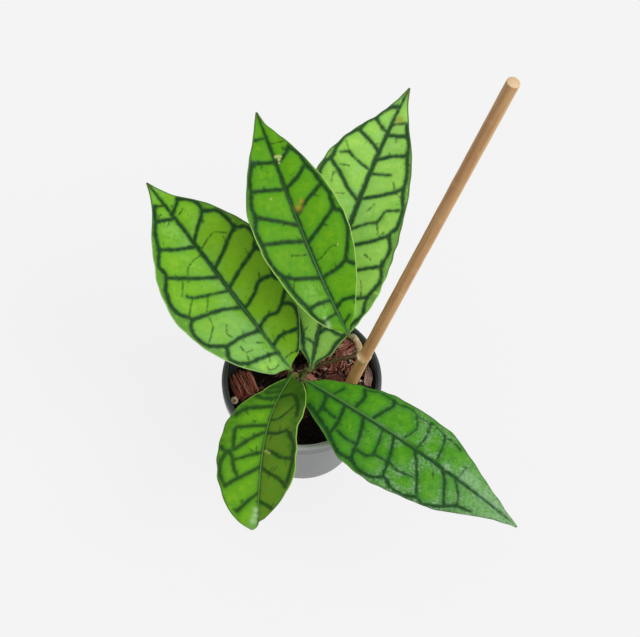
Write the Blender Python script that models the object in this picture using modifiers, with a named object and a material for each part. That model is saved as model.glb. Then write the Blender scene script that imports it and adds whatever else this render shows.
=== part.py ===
"""A young hoya callistophylla in a small round nursery pot, with a leaning bamboo stake.

Metres, +Z up. The origin is under the middle of the pot, on the face that it stands on.
X runs to the right of the plant's front and Y runs away from it, to the back.
"""

import math
import random

import bmesh
import bpy
from mathutils import Matrix, Vector

MM = 0.001
CLEAR = 0.3 * MM  # gap between two pieces that touch

# Pot
POT_HEIGHT = 66 * MM
RIM_RADIUS = 45 * MM
FOOT_RADIUS = 31 * MM
WALL = 1.2 * MM
FLOOR = 1.6 * MM
LIP_HEIGHT = 7 * MM
LIP_OVERHANG = 1.8 * MM
LIP_ROUNDING = 1.0 * MM
LIP_SLOPE = 0.2 * MM
FOOT_ROUNDING = 1.2 * MM
POT_SEGMENTS = 40
DRAIN_HOLES = 6
DRAIN_HOLE_RADIUS = 3 * MM
DRAIN_RING_RADIUS = 21 * MM

# Potting mix of husk chips
MIX_EDGE_HEIGHT = 52 * MM
MIX_MIDDLE_HEIGHT = 54 * MM
MIX_SHOULDER_RADIUS = 20 * MM
MIX_SHOULDER_DROP = 0.4 * MM
CHIP_COUNT = 50
CHIP_LENGTH = (8 * MM, 14 * MM)
CHIP_WIDTH = (5 * MM, 8 * MM)
CHIP_THICKNESS = (3.2 * MM, 5 * MM)
CHIP_CORNER_SHARES = (0.72, 1.05)  # how far each corner is drawn in or out
CHIP_RISE = (-0.1, 0.45)  # how far its middle stands above the mix, in thicknesses
CHIP_TILT = 18  # degrees
CHIP_TURN = 137.5  # degrees from one to the next, round the pot
CHIP_SEED = 7

# Bamboo stake: nearly straight, leaning right, with one node low down
STAKE_RADIUS = 3.3 * MM
STAKE_NODE_RADIUS = 3.7 * MM
STAKE_BURIED_END = Vector((12.1, -8.4, 10)) * MM
STAKE_NODE = Vector((34.9, -6.3, 103)) * MM
STAKE_TOP = Vector((94.7, -2.6, 337.3)) * MM
STAKE_TOP_BEVEL = 0.6 * MM

# Vine: up out of the mix behind the stake, over to the left, and a branch up to the top leaf
VINE_PATH = [
    (29.4, 7.6, 30),
    (30.4, 7.8, 46),
    (31.4, 8.2, 62),
    (32.4, 8.2, 73),
    (31.8, 7.0, 79.5),
    (26.3, 5.2, 80.5),
    (14.7, 4.0, 77),
    (8.1, 2.7, 73.5),
    (2.5, 1.0, 71),
    (-3.2, -1.6, 69.6),
    (-6.8, -3.4, 69.2),
]
VINE_RADII = [2.0, 2.0, 1.95, 1.8, 1.55, 1.3, 1.25, 1.3, 1.8, 1.5, 1.8]
BRANCH_PATH = [(32.0, 7.6, 76), (32.0, 7.8, 87), (29.6, 6.8, 98), (28.0, 5.4, 102.5)]
BRANCH_RADII = [1.7, 1.7, 1.65, 1.8]
VINE_NODE_RADIUS = 1.8 * MM

# Leaf blades
LEAF_STALK_RADIUS = 1.25 * MM
BLADE_THICKNESS = 1.1 * MM
MARGIN_THICKNESS = 0.8 * MM
RIB_HALF_WIDTH = 1.6 * MM
RIB_DEPTH = 1.3 * MM
GROOVE_DEPTH = 0.25 * MM
QUILT_HEIGHT = 0.45 * MM
BLADE_ROWS = 26
STALK_ROWS = 5
COLUMN_SHARES = (0.28, 0.55, 0.8, 1.0)
STALK_WIDEST = 74  # degrees from the top of the stalk to the corner between its two faces

# Half widths of a blade are given at these shares of its length, from its foot to its tip
STATIONS = (0, 0.04, 0.10, 0.20, 0.32, 0.45, 0.58, 0.70, 0.80, 0.88, 0.95, 1)

# Each leaf: foot of its blade, length and half widths in millimetres; heading (0 is +Y, towards
# +X is positive), pitch, roll (right side down is positive) and fold (how far each half rises
# from the midrib) in degrees at the foot, the middle and the tip; where its stalk leaves the
# vine, and in which direction; in what share of its length the blade grows out of its round
# stalk; and how many side veins it has on each side
LEAVES = {
    "leaf_left": {
        "foot": (-6.3, -3.9, 83.6),
        "length": 131,
        "heading": (-48, -43, -37),
        "pitch": (37, 28, 4),
        "roll": (-5, -18, 0),
        "fold": (16, 12, 8),
        "left": (4.5, 11.3, 18, 26.2, 32.3, 35, 32, 24.5, 16, 7.8, 2.9, 0.5),
        "right": (4, 10.5, 16.8, 24.8, 31.5, 34, 31, 24, 16.3, 7.9, 3.1, 0.5),
        "stalk_from": (-6.2, -3.0, 69.2),
        "stalk_direction": (-0.1, 0.45, 0.9),
        "foot_share": 0.03,
        "side_veins": 8,
    },
    "leaf_top": {
        "foot": (25.7, 2.5, 110),
        "length": 132,
        "heading": (-34, -25, -20),
        "pitch": (35, 29, 9),
        "roll": (0, -3, 0),
        "fold": (16, 12, 8),
        "left": (1.5, 6.5, 13, 19.3, 23.6, 26.6, 26.3, 20.6, 14.2, 8, 3.6, 0.5),
        "right": (1.5, 6, 11, 17.5, 23, 25.4, 23.3, 18.5, 12.7, 7, 2.1, 0.5),
        "stalk_from": (28.0, 5.4, 102.5),
        "stalk_direction": (-0.2, -0.35, 0.9),
        "foot_share": 0.06,
        "side_veins": 8,
    },
    "leaf_back": {
        "foot": (5.3, -1.4, 78),
        "length": 167,
        "heading": (11, 23, 28),
        "pitch": (28, 30.5, 16),
        "roll": (0, 6, 0),
        "fold": (8, 9, 8),
        "left": (1.5, 6.5, 11.5, 18.5, 25.5, 29, 29, 25.8, 17.6, 8.5, 3, 0.5),
        "right": (1.5, 8, 13.2, 22, 28.3, 29.5, 27.8, 23.9, 17.4, 9.5, 3.5, 0.5),
        "stalk_from": (3.4, 1.2, 71.4),
        "stalk_direction": (-0.35, -0.1, 0.93),
        "foot_share": 0.06,
        "side_veins": 10,
    },
    "leaf_lower_left": {
        "foot": (-4.3, -8.8, 85),
        "length": 95,
        "heading": (-148.5, -171, -179),
        "pitch": (13, -3, -33),
        "roll": (8, 14, 10),
        "fold": (20, 18, 10),
        "left": (1.5, 7.5, 13, 18.7, 21.4, 20.1, 22.2, 21.1, 16.1, 9.6, 2.6, 0.6),
        "right": (1.5, 2.2, 4.8, 10.6, 18.4, 23.1, 24.2, 23.1, 20.1, 16.4, 11.3, 6),
        "stalk_from": (-3.2, -1.6, 69.6),
        "stalk_direction": (0.1, -0.6, 0.8),
        "foot_share": 0.06,
        "side_veins": 7,
    },
    "leaf_lower_right": {
        "foot": (2, -10.9, 82),
        "length": 144,
        "heading": (129, 128, 128),
        "pitch": (13, 1, -15),
        "roll": (6, 3, 4),
        "fold": (-2, -8, -4),
        "left": (1.5, 5, 9.5, 15, 20.5, 22, 21.5, 15.8, 9.9, 5.8, 2.4, 0.5),
        "right": (1.5, 9, 14, 20, 27.3, 28.7, 25.6, 21.6, 14.8, 8, 3.4, 0.5),
        "stalk_from": (1.8, 0.55, 70.9),
        "stalk_direction": (-0.1, -0.8, 0.55),
        "foot_share": 0.06,
        "side_veins": 9,
    },
}

BLACK_PLASTIC = ((0.030, 0.033, 0.034), 0.42)
HUSK_BROWN = ((0.110, 0.048, 0.028), 0.9)
BAMBOO = ((0.47, 0.27, 0.12), 0.5)
VINE_BROWN = ((0.14, 0.10, 0.045), 0.65)
LEAF_GREEN = ((0.10, 0.27, 0.035), 0.4)


def clear_scene():
    for item in list(bpy.data.objects):
        bpy.data.objects.remove(item, do_unlink=True)


def new_collection(name):
    collection = bpy.data.collections.new(name)
    bpy.context.scene.collection.children.link(collection)
    return collection


def new_material(name, colour_and_roughness):
    colour, roughness = colour_and_roughness
    material = bpy.data.materials.new(name)
    material.use_nodes = True
    shader = material.node_tree.nodes["Principled BSDF"]
    shader.inputs["Base Color"].default_value = (*colour, 1)
    shader.inputs["Roughness"].default_value = roughness
    shader.inputs["Metallic"].default_value = 0
    return material


def add_object(name, data, collection, material=None):
    item = bpy.data.objects.new(name, data)
    collection.objects.link(item)
    if material is not None:
        data.materials.clear()
        data.materials.append(material)
    return item


def mark_cutter(item):
    item.hide_render = True
    item.display_type = "WIRE"


def apply_modifiers(item):
    """Give the object the mesh that its modifiers make, and drop them."""
    graph = bpy.context.evaluated_depsgraph_get()
    mesh = bpy.data.meshes.new_from_object(item.evaluated_get(graph))
    item.modifiers.clear()
    old = item.data
    item.data = mesh
    bpy.data.meshes.remove(old)


def combine(item, operation, collection):
    """Join or cut with everything in a collection, then remove what it held."""
    boolean = item.modifiers.new(operation.title(), "BOOLEAN")
    boolean.operation = operation
    boolean.operand_type = "COLLECTION"
    boolean.collection = collection
    boolean.solver = "EXACT"
    apply_modifiers(item)
    for used in list(collection.objects):
        bpy.data.objects.remove(used, do_unlink=True)


def keep_outer_body(item):
    """Fill hollows that fusing sealed and drop loose scraps: only the largest closed surface stays."""
    shape = bmesh.new()
    shape.from_mesh(item.data)
    bodies = []
    waiting = set(shape.verts)
    while waiting:
        body = set()
        border = [waiting.pop()]
        while border:
            corner = border.pop()
            body.add(corner)
            for edge in corner.link_edges:
                other = edge.other_vert(corner)
                if other in waiting:
                    waiting.discard(other)
                    border.append(other)
        bodies.append(body)
    largest = max(bodies, key=len)
    spare = [corner for body in bodies if body is not largest for corner in body]
    bmesh.ops.delete(shape, geom=spare, context="VERTS")
    shape.to_mesh(item.data)
    shape.free()


def turned(name, profile, segments, collection, material):
    """A solid turned round Z from a profile of (radius, height), read down its outer side."""
    mesh = bpy.data.meshes.new(name)
    points = [(radius, 0, height) for radius, height in profile]
    edges = [(i, i + 1) for i in range(len(points) - 1)]
    mesh.from_pydata(points, edges, [])
    item = add_object(name, mesh, collection, material)
    screw = item.modifiers.new("Screw", "SCREW")
    screw.axis = "Z"
    screw.angle = math.tau
    screw.steps = segments
    screw.render_steps = segments
    screw.use_merge_vertices = True
    screw.merge_threshold = 0.00001
    screw.use_smooth_shade = True
    return item


def cylinder_between(name, start, end, radius, sides, collection):
    """A closed cylinder from one point to another."""
    shape = bmesh.new()
    axis = end - start
    turn = axis.to_track_quat("Z", "Y").to_matrix().to_4x4()
    place = Matrix.Translation((start + end) / 2) @ turn
    bmesh.ops.create_cone(shape, cap_ends=True, segments=sides, radius1=radius, radius2=radius,
                          depth=axis.length, matrix=place)
    mesh = bpy.data.meshes.new(name)
    shape.to_mesh(mesh)
    shape.free()
    return add_object(name, mesh, collection)


def tube_curve(name, points, radii, collection, material, bevel_resolution=2):
    """A round tube through the points, in metres, with its own radius at each."""
    curve = bpy.data.curves.new(name, "CURVE")
    curve.dimensions = "3D"
    curve.bevel_depth = 1.0
    curve.bevel_resolution = bevel_resolution
    curve.use_fill_caps = True
    spline = curve.splines.new("POLY")
    spline.points.add(len(points) - 1)
    for knot, point, radius in zip(spline.points, points, radii):
        knot.co = (*point, 1)
        knot.radius = radius
    return add_object(name, curve, collection, material)


def curve_to_mesh(item):
    """The same tube as a closed mesh object, in place of the curve."""
    graph = bpy.context.evaluated_depsgraph_get()
    mesh = bpy.data.meshes.new_from_object(item.evaluated_get(graph))
    shape = bmesh.new()
    shape.from_mesh(mesh)
    bmesh.ops.remove_doubles(shape, verts=shape.verts, dist=0.00001)
    bmesh.ops.recalc_face_normals(shape, faces=shape.faces)
    shape.to_mesh(mesh)
    shape.free()
    name = item.name
    solid = bpy.data.objects.new(name, mesh)
    solid.matrix_world = item.matrix_world
    item.users_collection[0].objects.link(solid)
    bpy.data.objects.remove(item, do_unlink=True)
    solid.name = name
    return solid


def smooth_path(points, values, steps):
    """Points on one smooth curve through the given ones, with a value carried along."""
    places = [Vector(point) for point in points]
    path = []
    carried = []
    for i in range(len(places) - 1):
        before = places[max(i - 1, 0)]
        start = places[i]
        end = places[i + 1]
        after = places[min(i + 2, len(places) - 1)]
        for k in range(steps):
            s = k / steps
            point = 0.5 * (
                2 * start
                + (end - before) * s
                + (2 * before - 5 * start + 4 * end - after) * s ** 2
                + (3 * start - before - 3 * end + after) * s ** 3
            )
            path.append(point)
            carried.append(values[i] + (values[i + 1] - values[i]) * s)
    path.append(places[-1])
    carried.append(values[-1])
    return path, carried


def pot_wall_radius(height):
    """Outer radius of the tapered wall, below its lip."""
    top = RIM_RADIUS - LIP_OVERHANG
    return FOOT_RADIUS + (top - FOOT_RADIUS) * height / (POT_HEIGHT - LIP_HEIGHT)


def make_pot(collection, cutters):
    lip_bottom = POT_HEIGHT - LIP_HEIGHT
    inner_top = pot_wall_radius(lip_bottom) - WALL
    round_off = LIP_ROUNDING
    profile = [
        (0, FLOOR),
        (pot_wall_radius(FLOOR) - WALL, FLOOR),
        (inner_top, lip_bottom),
        (inner_top + LIP_SLOPE, POT_HEIGHT - round_off),
        (inner_top + LIP_SLOPE + 0.4 * round_off, POT_HEIGHT - 0.2 * round_off),
        (inner_top + LIP_SLOPE + 1.1 * round_off, POT_HEIGHT),
        (RIM_RADIUS - round_off, POT_HEIGHT),
        (RIM_RADIUS - 0.3 * round_off, POT_HEIGHT - 0.3 * round_off),
        (RIM_RADIUS, POT_HEIGHT - round_off),
        (RIM_RADIUS, lip_bottom + 0.5 * round_off),
        (RIM_RADIUS - 0.4 * round_off, lip_bottom),
        (pot_wall_radius(lip_bottom), lip_bottom),
        (pot_wall_radius(FOOT_ROUNDING), FOOT_ROUNDING),
        (FOOT_RADIUS - 0.3 * FOOT_ROUNDING, 0.3 * FOOT_ROUNDING),
        (FOOT_RADIUS - FOOT_ROUNDING, 0),
        (0, 0),
    ]
    pot = turned("pot", profile, POT_SEGMENTS, collection, new_material("black_plastic", BLACK_PLASTIC))
    apply_modifiers(pot)
    for i in range(DRAIN_HOLES):
        angle = math.tau * i / DRAIN_HOLES
        across = Vector((math.cos(angle), math.sin(angle), 0)) * DRAIN_RING_RADIUS
        low = across - Vector((0, 0, FLOOR))
        high = across + Vector((0, 0, 2 * FLOOR))
        mark_cutter(cylinder_between(f"drain_{i}", low, high, DRAIN_HOLE_RADIUS, 12, cutters))
    combine(pot, "DIFFERENCE", cutters)


def add_chip(index, draw, collection):
    """One husk chip: an uneven block, laid nearly flat and sunk into the mix."""
    share = (index + 0.5) / CHIP_COUNT
    reach = pot_wall_radius(MIX_EDGE_HEIGHT) - WALL - CHIP_LENGTH[1] * 0.62
    distance = reach * math.sqrt(share)
    angle = index * math.radians(CHIP_TURN)
    size = [draw.uniform(*limits) for limits in (CHIP_LENGTH, CHIP_WIDTH, CHIP_THICKNESS)]
    height = MIX_MIDDLE_HEIGHT + (MIX_EDGE_HEIGHT - MIX_MIDDLE_HEIGHT) * share
    height += draw.uniform(*CHIP_RISE) * size[2]
    place = Vector((distance * math.cos(angle), distance * math.sin(angle), height))
    turn = Matrix.Rotation(draw.uniform(0, math.tau), 4, "Z")
    tilt = Matrix.Rotation(math.radians(draw.uniform(-CHIP_TILT, CHIP_TILT)), 4, "X")
    lean = Matrix.Rotation(math.radians(draw.uniform(-CHIP_TILT, CHIP_TILT)), 4, "Y")
    shape = bmesh.new()
    bmesh.ops.create_cube(shape, size=1.0)
    for corner in shape.verts:
        corner.co = [corner.co[axis] * size[axis] * draw.uniform(*CHIP_CORNER_SHARES) for axis in range(3)]
    bmesh.ops.triangulate(shape, faces=shape.faces)
    bmesh.ops.transform(shape, matrix=Matrix.Translation(place) @ turn @ tilt @ lean, verts=shape.verts)
    bmesh.ops.recalc_face_normals(shape, faces=shape.faces)
    mesh = bpy.data.meshes.new(f"chip_{index}")
    shape.to_mesh(mesh)
    shape.free()
    add_object(f"chip_{index}", mesh, collection)


def make_mix(collection, chips, cutters):
    bottom = FLOOR + CLEAR
    inset = WALL + CLEAR
    profile = [
        (0, MIX_MIDDLE_HEIGHT),
        (MIX_SHOULDER_RADIUS, MIX_MIDDLE_HEIGHT - MIX_SHOULDER_DROP),
        (pot_wall_radius(MIX_EDGE_HEIGHT) - inset, MIX_EDGE_HEIGHT),
        (pot_wall_radius(bottom) - inset, bottom),
        (0, bottom),
    ]
    mix = turned("potting_mix", profile, POT_SEGMENTS, collection, new_material("husk_mix", HUSK_BROWN))
    apply_modifiers(mix)
    draw = random.Random(CHIP_SEED)
    for index in range(CHIP_COUNT):
        add_chip(index, draw, chips)
    combine(mix, "UNION", chips)
    add_stake_and_vine_holes(cutters)
    combine(mix, "DIFFERENCE", cutters)
    keep_outer_body(mix)


def add_stake_and_vine_holes(cutters):
    """Plain holes for the foot of the stake and of the vine, open at the top."""
    along = (STAKE_NODE - STAKE_BURIED_END).normalized()
    low = STAKE_BURIED_END - along * CLEAR
    high = STAKE_BURIED_END + along * (POT_HEIGHT - STAKE_BURIED_END.z)
    mark_cutter(cylinder_between("stake_hole", low, high, STAKE_RADIUS + CLEAR, 16, cutters))
    start = Vector(VINE_PATH[0]) * MM
    end = Vector(VINE_PATH[2]) * MM
    along = (end - start).normalized()
    radius = VINE_RADII[0] * MM + 2 * CLEAR
    mark_cutter(cylinder_between("vine_hole", start - along * CLEAR, end, radius, 12, cutters))


def make_stake(collection):
    """A straight cane below its node and another above it, with a ring swollen at the node."""
    lower = (STAKE_NODE - STAKE_BURIED_END).normalized()
    upper = (STAKE_TOP - STAKE_NODE).normalized()
    bevel = STAKE_TOP_BEVEL
    points = [STAKE_BURIED_END, STAKE_NODE - lower * 5 * MM, STAKE_NODE - lower * 1.8 * MM]
    radii = [STAKE_RADIUS, STAKE_RADIUS, STAKE_NODE_RADIUS]
    points += [STAKE_NODE + upper * 1.2 * MM, STAKE_NODE + upper * 2.6 * MM, STAKE_NODE + upper * 6 * MM]
    radii += [STAKE_NODE_RADIUS, STAKE_RADIUS * 0.97, STAKE_RADIUS]
    points += [STAKE_NODE.lerp(STAKE_TOP, 0.5), STAKE_TOP - upper * bevel, STAKE_TOP]
    radii += [STAKE_RADIUS, STAKE_RADIUS, STAKE_RADIUS - 0.4 * bevel]
    tube_curve("bamboo_stake", points, radii, collection, new_material("bamboo", BAMBOO), 4)


def make_stem(collection, joined):
    material = new_material("vine", VINE_BROWN)
    points, radii = smooth_path(VINE_PATH, VINE_RADII, 4)
    points = [point * MM for point in points]
    radii = [radius * MM for radius in radii]
    stem = curve_to_mesh(tube_curve("stem", points, radii, collection, material))
    points, radii = smooth_path(BRANCH_PATH, BRANCH_RADII, 4)
    points = [point * MM for point in points]
    radii = [radius * MM for radius in radii]
    curve_to_mesh(tube_curve("branch", points, radii, joined, material))
    combine(stem, "UNION", joined)


def along_blade(values, share):
    """A value given at a blade's foot, middle and tip, read at a share of its length."""
    foot, middle, tip = values
    from_foot = foot * (2 * share - 1) * (share - 1)
    return from_foot + middle * 4 * share * (1 - share) + tip * share * (2 * share - 1)


def half_width(values, share):
    """Half width of a blade, in metres, on a smooth curve through its stations."""
    index = max(i for i in range(len(STATIONS) - 1) if STATIONS[i] <= share)
    slopes = []
    for i in range(len(STATIONS)):
        if i in (0, len(STATIONS) - 1):
            near = 1 if i == 0 else i
            slopes.append((values[near] - values[near - 1]) / (STATIONS[near] - STATIONS[near - 1]))
            continue
        before = (values[i] - values[i - 1]) / (STATIONS[i] - STATIONS[i - 1])
        after = (values[i + 1] - values[i]) / (STATIONS[i + 1] - STATIONS[i])
        gap_before = STATIONS[i] - STATIONS[i - 1]
        gap_after = STATIONS[i + 1] - STATIONS[i]
        mean = 0
        if before * after > 0:
            mean = (gap_before + gap_after) / (gap_before / after + gap_after / before)
        slopes.append(mean)
    gap = STATIONS[index + 1] - STATIONS[index]
    s = (share - STATIONS[index]) / gap
    value = (1 + 2 * s) * (1 - s) ** 2 * values[index]
    value += s * (1 - s) ** 2 * gap * slopes[index]
    value += s * s * (3 - 2 * s) * values[index + 1]
    value += s * s * (s - 1) * gap * slopes[index + 1]
    return value * MM


def blade_frame(leaf, share):
    """Directions along the blade, to its right and up from it, at a share of its length."""
    heading = math.radians(along_blade(leaf["heading"], share))
    pitch = math.radians(along_blade(leaf["pitch"], share))
    roll = math.radians(along_blade(leaf["roll"], share))
    level_ahead = Vector((math.sin(heading), math.cos(heading), 0))
    ahead = level_ahead * math.cos(pitch) + Vector((0, 0, math.sin(pitch)))
    level = Vector((math.cos(heading), -math.sin(heading), 0))
    upward = level.cross(ahead)
    right = level * math.cos(roll) - upward * math.sin(roll)
    up = upward * math.cos(roll) + level * math.sin(roll)
    return ahead, right, up


def midrib_points(leaf, shares, substeps=8):
    """Points of the midrib at the given shares, by adding up its direction."""
    length = leaf["length"] * MM
    place = Vector(leaf["foot"]) * MM
    points = [place.copy()]
    for start, end in zip(shares, shares[1:]):
        step = (end - start) / substeps
        for k in range(substeps):
            ahead, _, _ = blade_frame(leaf, start + (k + 0.5) * step)
            place = place + ahead * (step * length)
        points.append(place.copy())
    return points


def quilting(leaf, share, across):
    """How far the blade swells between its side veins, which sweep forward to the margin."""
    wave = math.sin(math.pi * leaf["side_veins"] * (share - 0.09 * across)) ** 2
    fade = math.sin(math.pi * min(max(share, 0), 1)) ** 0.5
    return QUILT_HEIGHT * wave * fade * math.sin(math.pi * across)


def blade_section(leaf, share, centre):
    """Upper and lower points across the blade, from its left margin to its right one."""
    ahead, right, up = blade_frame(leaf, share)
    fold = math.radians(along_blade(leaf["fold"], share))
    upper = []
    lower = []
    for side, name in ((-1, "left"), (1, "right")):
        width = half_width(leaf[name], share)
        flank = min(RIB_HALF_WIDTH, 0.3 * width)
        reaches = [flank] + [flank + (width - flank) * part for part in COLUMN_SHARES]
        half_upper = []
        half_lower = []
        for reach in reaches:
            across = reach / width
            rise = reach * math.sin(fold) + quilting(leaf, share, across)
            point = centre + right * (side * reach * math.cos(fold)) + up * rise
            half = (BLADE_THICKNESS + (MARGIN_THICKNESS - BLADE_THICKNESS) * across ** 2) / 2
            half_upper.append(point + up * half)
            half_lower.append(point - up * half)
        if side < 0:
            upper = half_upper[::-1]
            lower = half_lower[::-1]
            upper.append(centre + up * (BLADE_THICKNESS / 2 - GROOVE_DEPTH))
            rib = RIB_DEPTH * (1 - 0.85 * share)
            lower.append(centre - up * (BLADE_THICKNESS / 2 + rib))
        else:
            upper += half_upper
            lower += half_lower
    return upper, lower


def round_section(centre, right, up, radius, count):
    """The same number of upper and lower points on a round stalk."""
    widest = math.radians(STALK_WIDEST)
    upper = []
    lower = []
    for i in range(count):
        angle = widest * (2 * i / (count - 1) - 1)
        sideways = right * (radius * math.sin(angle))
        rise = up * (radius * math.cos(angle))
        upper.append(centre + sideways + rise)
        lower.append(centre + sideways - rise)
    return upper, lower


def stalk_sections(leaf, count):
    """Round sections of the leaf stalk, from beside the vine to the foot of the blade."""
    foot = Vector(leaf["foot"]) * MM
    out = Vector(leaf["stalk_direction"]).normalized()
    from_end = leaf["stalk_from"] == BRANCH_PATH[-1]
    start = Vector(leaf["stalk_from"]) * MM + out * (CLEAR + (0 if from_end else VINE_NODE_RADIUS))
    ahead, right, up = blade_frame(leaf, 0)
    reach = (foot - start).length
    handles = (start, start + out * reach * 0.45, foot - ahead * reach * 0.22, foot)
    sections = []
    for k in range(STALK_ROWS):
        s = k / STALK_ROWS
        centre = Vector((0, 0, 0))
        tangent = Vector((0, 0, 0))
        for n, handle in enumerate(handles):
            centre += handle * (math.comb(3, n) * s ** n * (1 - s) ** (3 - n))
        for n in range(3):
            tangent += (handles[n + 1] - handles[n]) * (math.comb(2, n) * s ** n * (1 - s) ** (2 - n))
        tangent.normalize()
        side = (right - tangent * right.dot(tangent)).normalized()
        sections.append(round_section(centre, side, side.cross(tangent), LEAF_STALK_RADIUS, count))
    return sections


def make_leaf(name, leaf, collection, material):
    """A blade and its stalk as one closed loft, with the same triangles on both faces."""
    count = 2 * (len(COLUMN_SHARES) + 1) + 1
    sections = stalk_sections(leaf, count)
    shares = [row / BLADE_ROWS for row in range(BLADE_ROWS + 1)]
    centres = midrib_points(leaf, shares)
    for share, centre in zip(shares, centres):
        upper, lower = blade_section(leaf, share, centre)
        blend = min(share / leaf["foot_share"], 1)
        if blend < 1:
            _, right, up = blade_frame(leaf, share)
            ring_upper, ring_lower = round_section(centre, right, up, LEAF_STALK_RADIUS, count)
            upper = [ring.lerp(point, blend) for ring, point in zip(ring_upper, upper)]
            lower = [ring.lerp(point, blend) for ring, point in zip(ring_lower, lower)]
        sections.append((upper, lower))
    points = [point for upper, lower in sections for point in upper + lower]
    faces = []
    for row in range(len(sections) - 1):
        here = row * 2 * count
        there = here + 2 * count
        for k in range(count - 1):
            a, b, c, d = here + k, here + k + 1, there + k + 1, there + k
            split = ((a, b, c), (a, c, d)) if k >= (count - 1) // 2 else ((a, b, d), (b, c, d))
            for triangle in split:
                faces.append(triangle)
                faces.append(tuple(index + count for index in reversed(triangle)))
        for edge in (0, count - 1):
            a, b = here + edge, there + edge
            c, d = b + count, a + count
            side = [(a, b, c), (a, c, d)]
            faces += side if edge == 0 else [triangle[::-1] for triangle in side]
    last = (len(sections) - 1) * 2 * count
    for k in range(count - 1):
        a, b, c, d = k, k + 1, k + 1 + count, k + count
        faces += [(a, c, b), (a, d, c)]
        a, b, c, d = (last + index for index in (a, b, c, d))
        faces += [(a, b, c), (a, c, d)]
    mesh = bpy.data.meshes.new(name)
    mesh.from_pydata(points, [], faces)
    shape = bmesh.new()
    shape.from_mesh(mesh)
    bmesh.ops.recalc_face_normals(shape, faces=shape.faces)
    shape.to_mesh(mesh)
    shape.free()
    mesh.shade_smooth()
    add_object(name, mesh, collection, material)


def main():
    clear_scene()
    plant = new_collection("hoya_callistophylla")
    cutters = new_collection("cutters")
    joined = new_collection("joined")
    make_pot(plant, cutters)
    make_mix(plant, joined, cutters)
    make_stake(plant)
    make_stem(plant, joined)
    green = new_material("leaf_green", LEAF_GREEN)
    for name, leaf in LEAVES.items():
        make_leaf(name, leaf, plant, green)


main()
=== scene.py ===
"""Looks of a young hoya callistophylla in a small nursery pot, with a leaning bamboo stake.

Shapes are worked out in millimetres, in the frame's own axes, and made in metres.
"""

import math

import bpy
import numpy as np
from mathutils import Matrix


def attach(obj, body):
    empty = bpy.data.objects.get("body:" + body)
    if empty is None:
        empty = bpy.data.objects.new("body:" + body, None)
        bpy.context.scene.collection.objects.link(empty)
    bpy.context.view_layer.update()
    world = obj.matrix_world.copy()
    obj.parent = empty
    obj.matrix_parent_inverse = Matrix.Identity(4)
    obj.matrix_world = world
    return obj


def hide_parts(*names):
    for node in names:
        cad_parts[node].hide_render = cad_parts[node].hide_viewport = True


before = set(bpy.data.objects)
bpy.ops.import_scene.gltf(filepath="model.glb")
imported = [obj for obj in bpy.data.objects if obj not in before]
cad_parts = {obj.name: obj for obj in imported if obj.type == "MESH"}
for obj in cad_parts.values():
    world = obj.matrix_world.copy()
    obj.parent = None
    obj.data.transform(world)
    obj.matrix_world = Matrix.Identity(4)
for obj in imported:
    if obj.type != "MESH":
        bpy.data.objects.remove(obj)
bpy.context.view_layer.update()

MM = 0.001
BODY = "root"

# Picture: the camera stands above the front and looks down, as in the photograph
PICTURE_WIDTH = 640
FOCAL_PIXELS = 1867
SENSOR_WIDTH = 36
CAMERA_PLACE = (10.29, -506.57, 984.36)
CAMERA_PITCH = -59.3
CAMERA_CLIP = (0.05, 50)  # metres
SKY_COLOUR = (0.96, 0.98, 1.0)
SKY_STRENGTH = 0.62
FLOOR_HALF_SIZE = 4.0  # metres
FLOOR_GREY = (0.070, 0.070, 0.070)
FLOOR_PALER_GREY = (0.076, 0.076, 0.076)
FLOOR_GLOW = 0.812

# Pot
POT_HEIGHT = 66
RIM_RADIUS = 45
FOOT_RADIUS = 31
WALL = 1.2
FLOOR = 1.6
LIP_HEIGHT = 7
LIP_OVERHANG = 1.8
LIP_BOTTOM = POT_HEIGHT - LIP_HEIGHT
LIP_EDGE_ROUNDING = 0.6
LIP_CORNER_ROUNDING = 0.4
MOUTH_STEP = 0.4
CROWN_DROP = 0.25
CROWN_HALF_WIDTH = 0.6
CROWN_FALL = 0.03
ROUNDING = 1.0
FLOOR_MIDDLE_RADIUS = 6
POT_SEGMENTS = 160
DRAIN_HOLES = 6
DRAIN_HOLE_RADIUS = 3
DRAIN_RING_RADIUS = 21
SHARP_ANGLE = 40

# Potting mix
MIX_EDGE_HEIGHT = 51
MIX_MIDDLE_HEIGHT = 53
CHIP_LEVEL = 56
BED_SEGMENTS = 120
BED_SEED = 51
BED_WAVES = [(0.8, 13), (0.35, 4.5)]
CLEAR = 0.3

# Bamboo stake: nearly straight, leaning right, with one node low down
STAKE_RADIUS = 3.3
STAKE_BURIED_END = np.array((12.1, -8.4, 10.0))
STAKE_NODE = np.array((34.9, -6.3, 103.0))
STAKE_TOP = np.array((94.7, -2.6, 337.3))
STAKE_SIDES = 48
STAKE_SEED = 71
STAKE_WAVES = [(0.03, 14)]
STAKE_STREAKS = [(0.02, 2.2)]
STREAK_SQUEEZE = (1, 1, 0.2)
CUT_EDGE = np.array((0.55, 0.25, 0.08, 0.0))  # rings on the rounded edge of the cut, from its end
# The cane's side that is painted in shade, as the direction it faces
SHADE_FACING = (-0.85, -0.30, 0.35)
# The cane's side that is painted in light, as the direction it faces
LIGHT_FACING = (0.95, -0.15, 0.10)

# The stake swells at its node: how far up from the node, and its radius there
NODE_PROFILE = [
    (-5, STAKE_RADIUS), (-2.2, 3.5), (-0.9, 3.65), (0.5, 3.6), (1.6, 3.4), (3.0, 3.25), (6, STAKE_RADIUS),
]

# Buds on the node: which way they face, how far above the node, how far they stand out, and the
# size of their pale scar
NODE_BUDS = [
    ((-0.80, -0.45, 0.30), 0.6, 1.5, 1.3),
    ((-0.15, -0.90, 0.40), -1.4, 0.9, 1.1),
]

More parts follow.
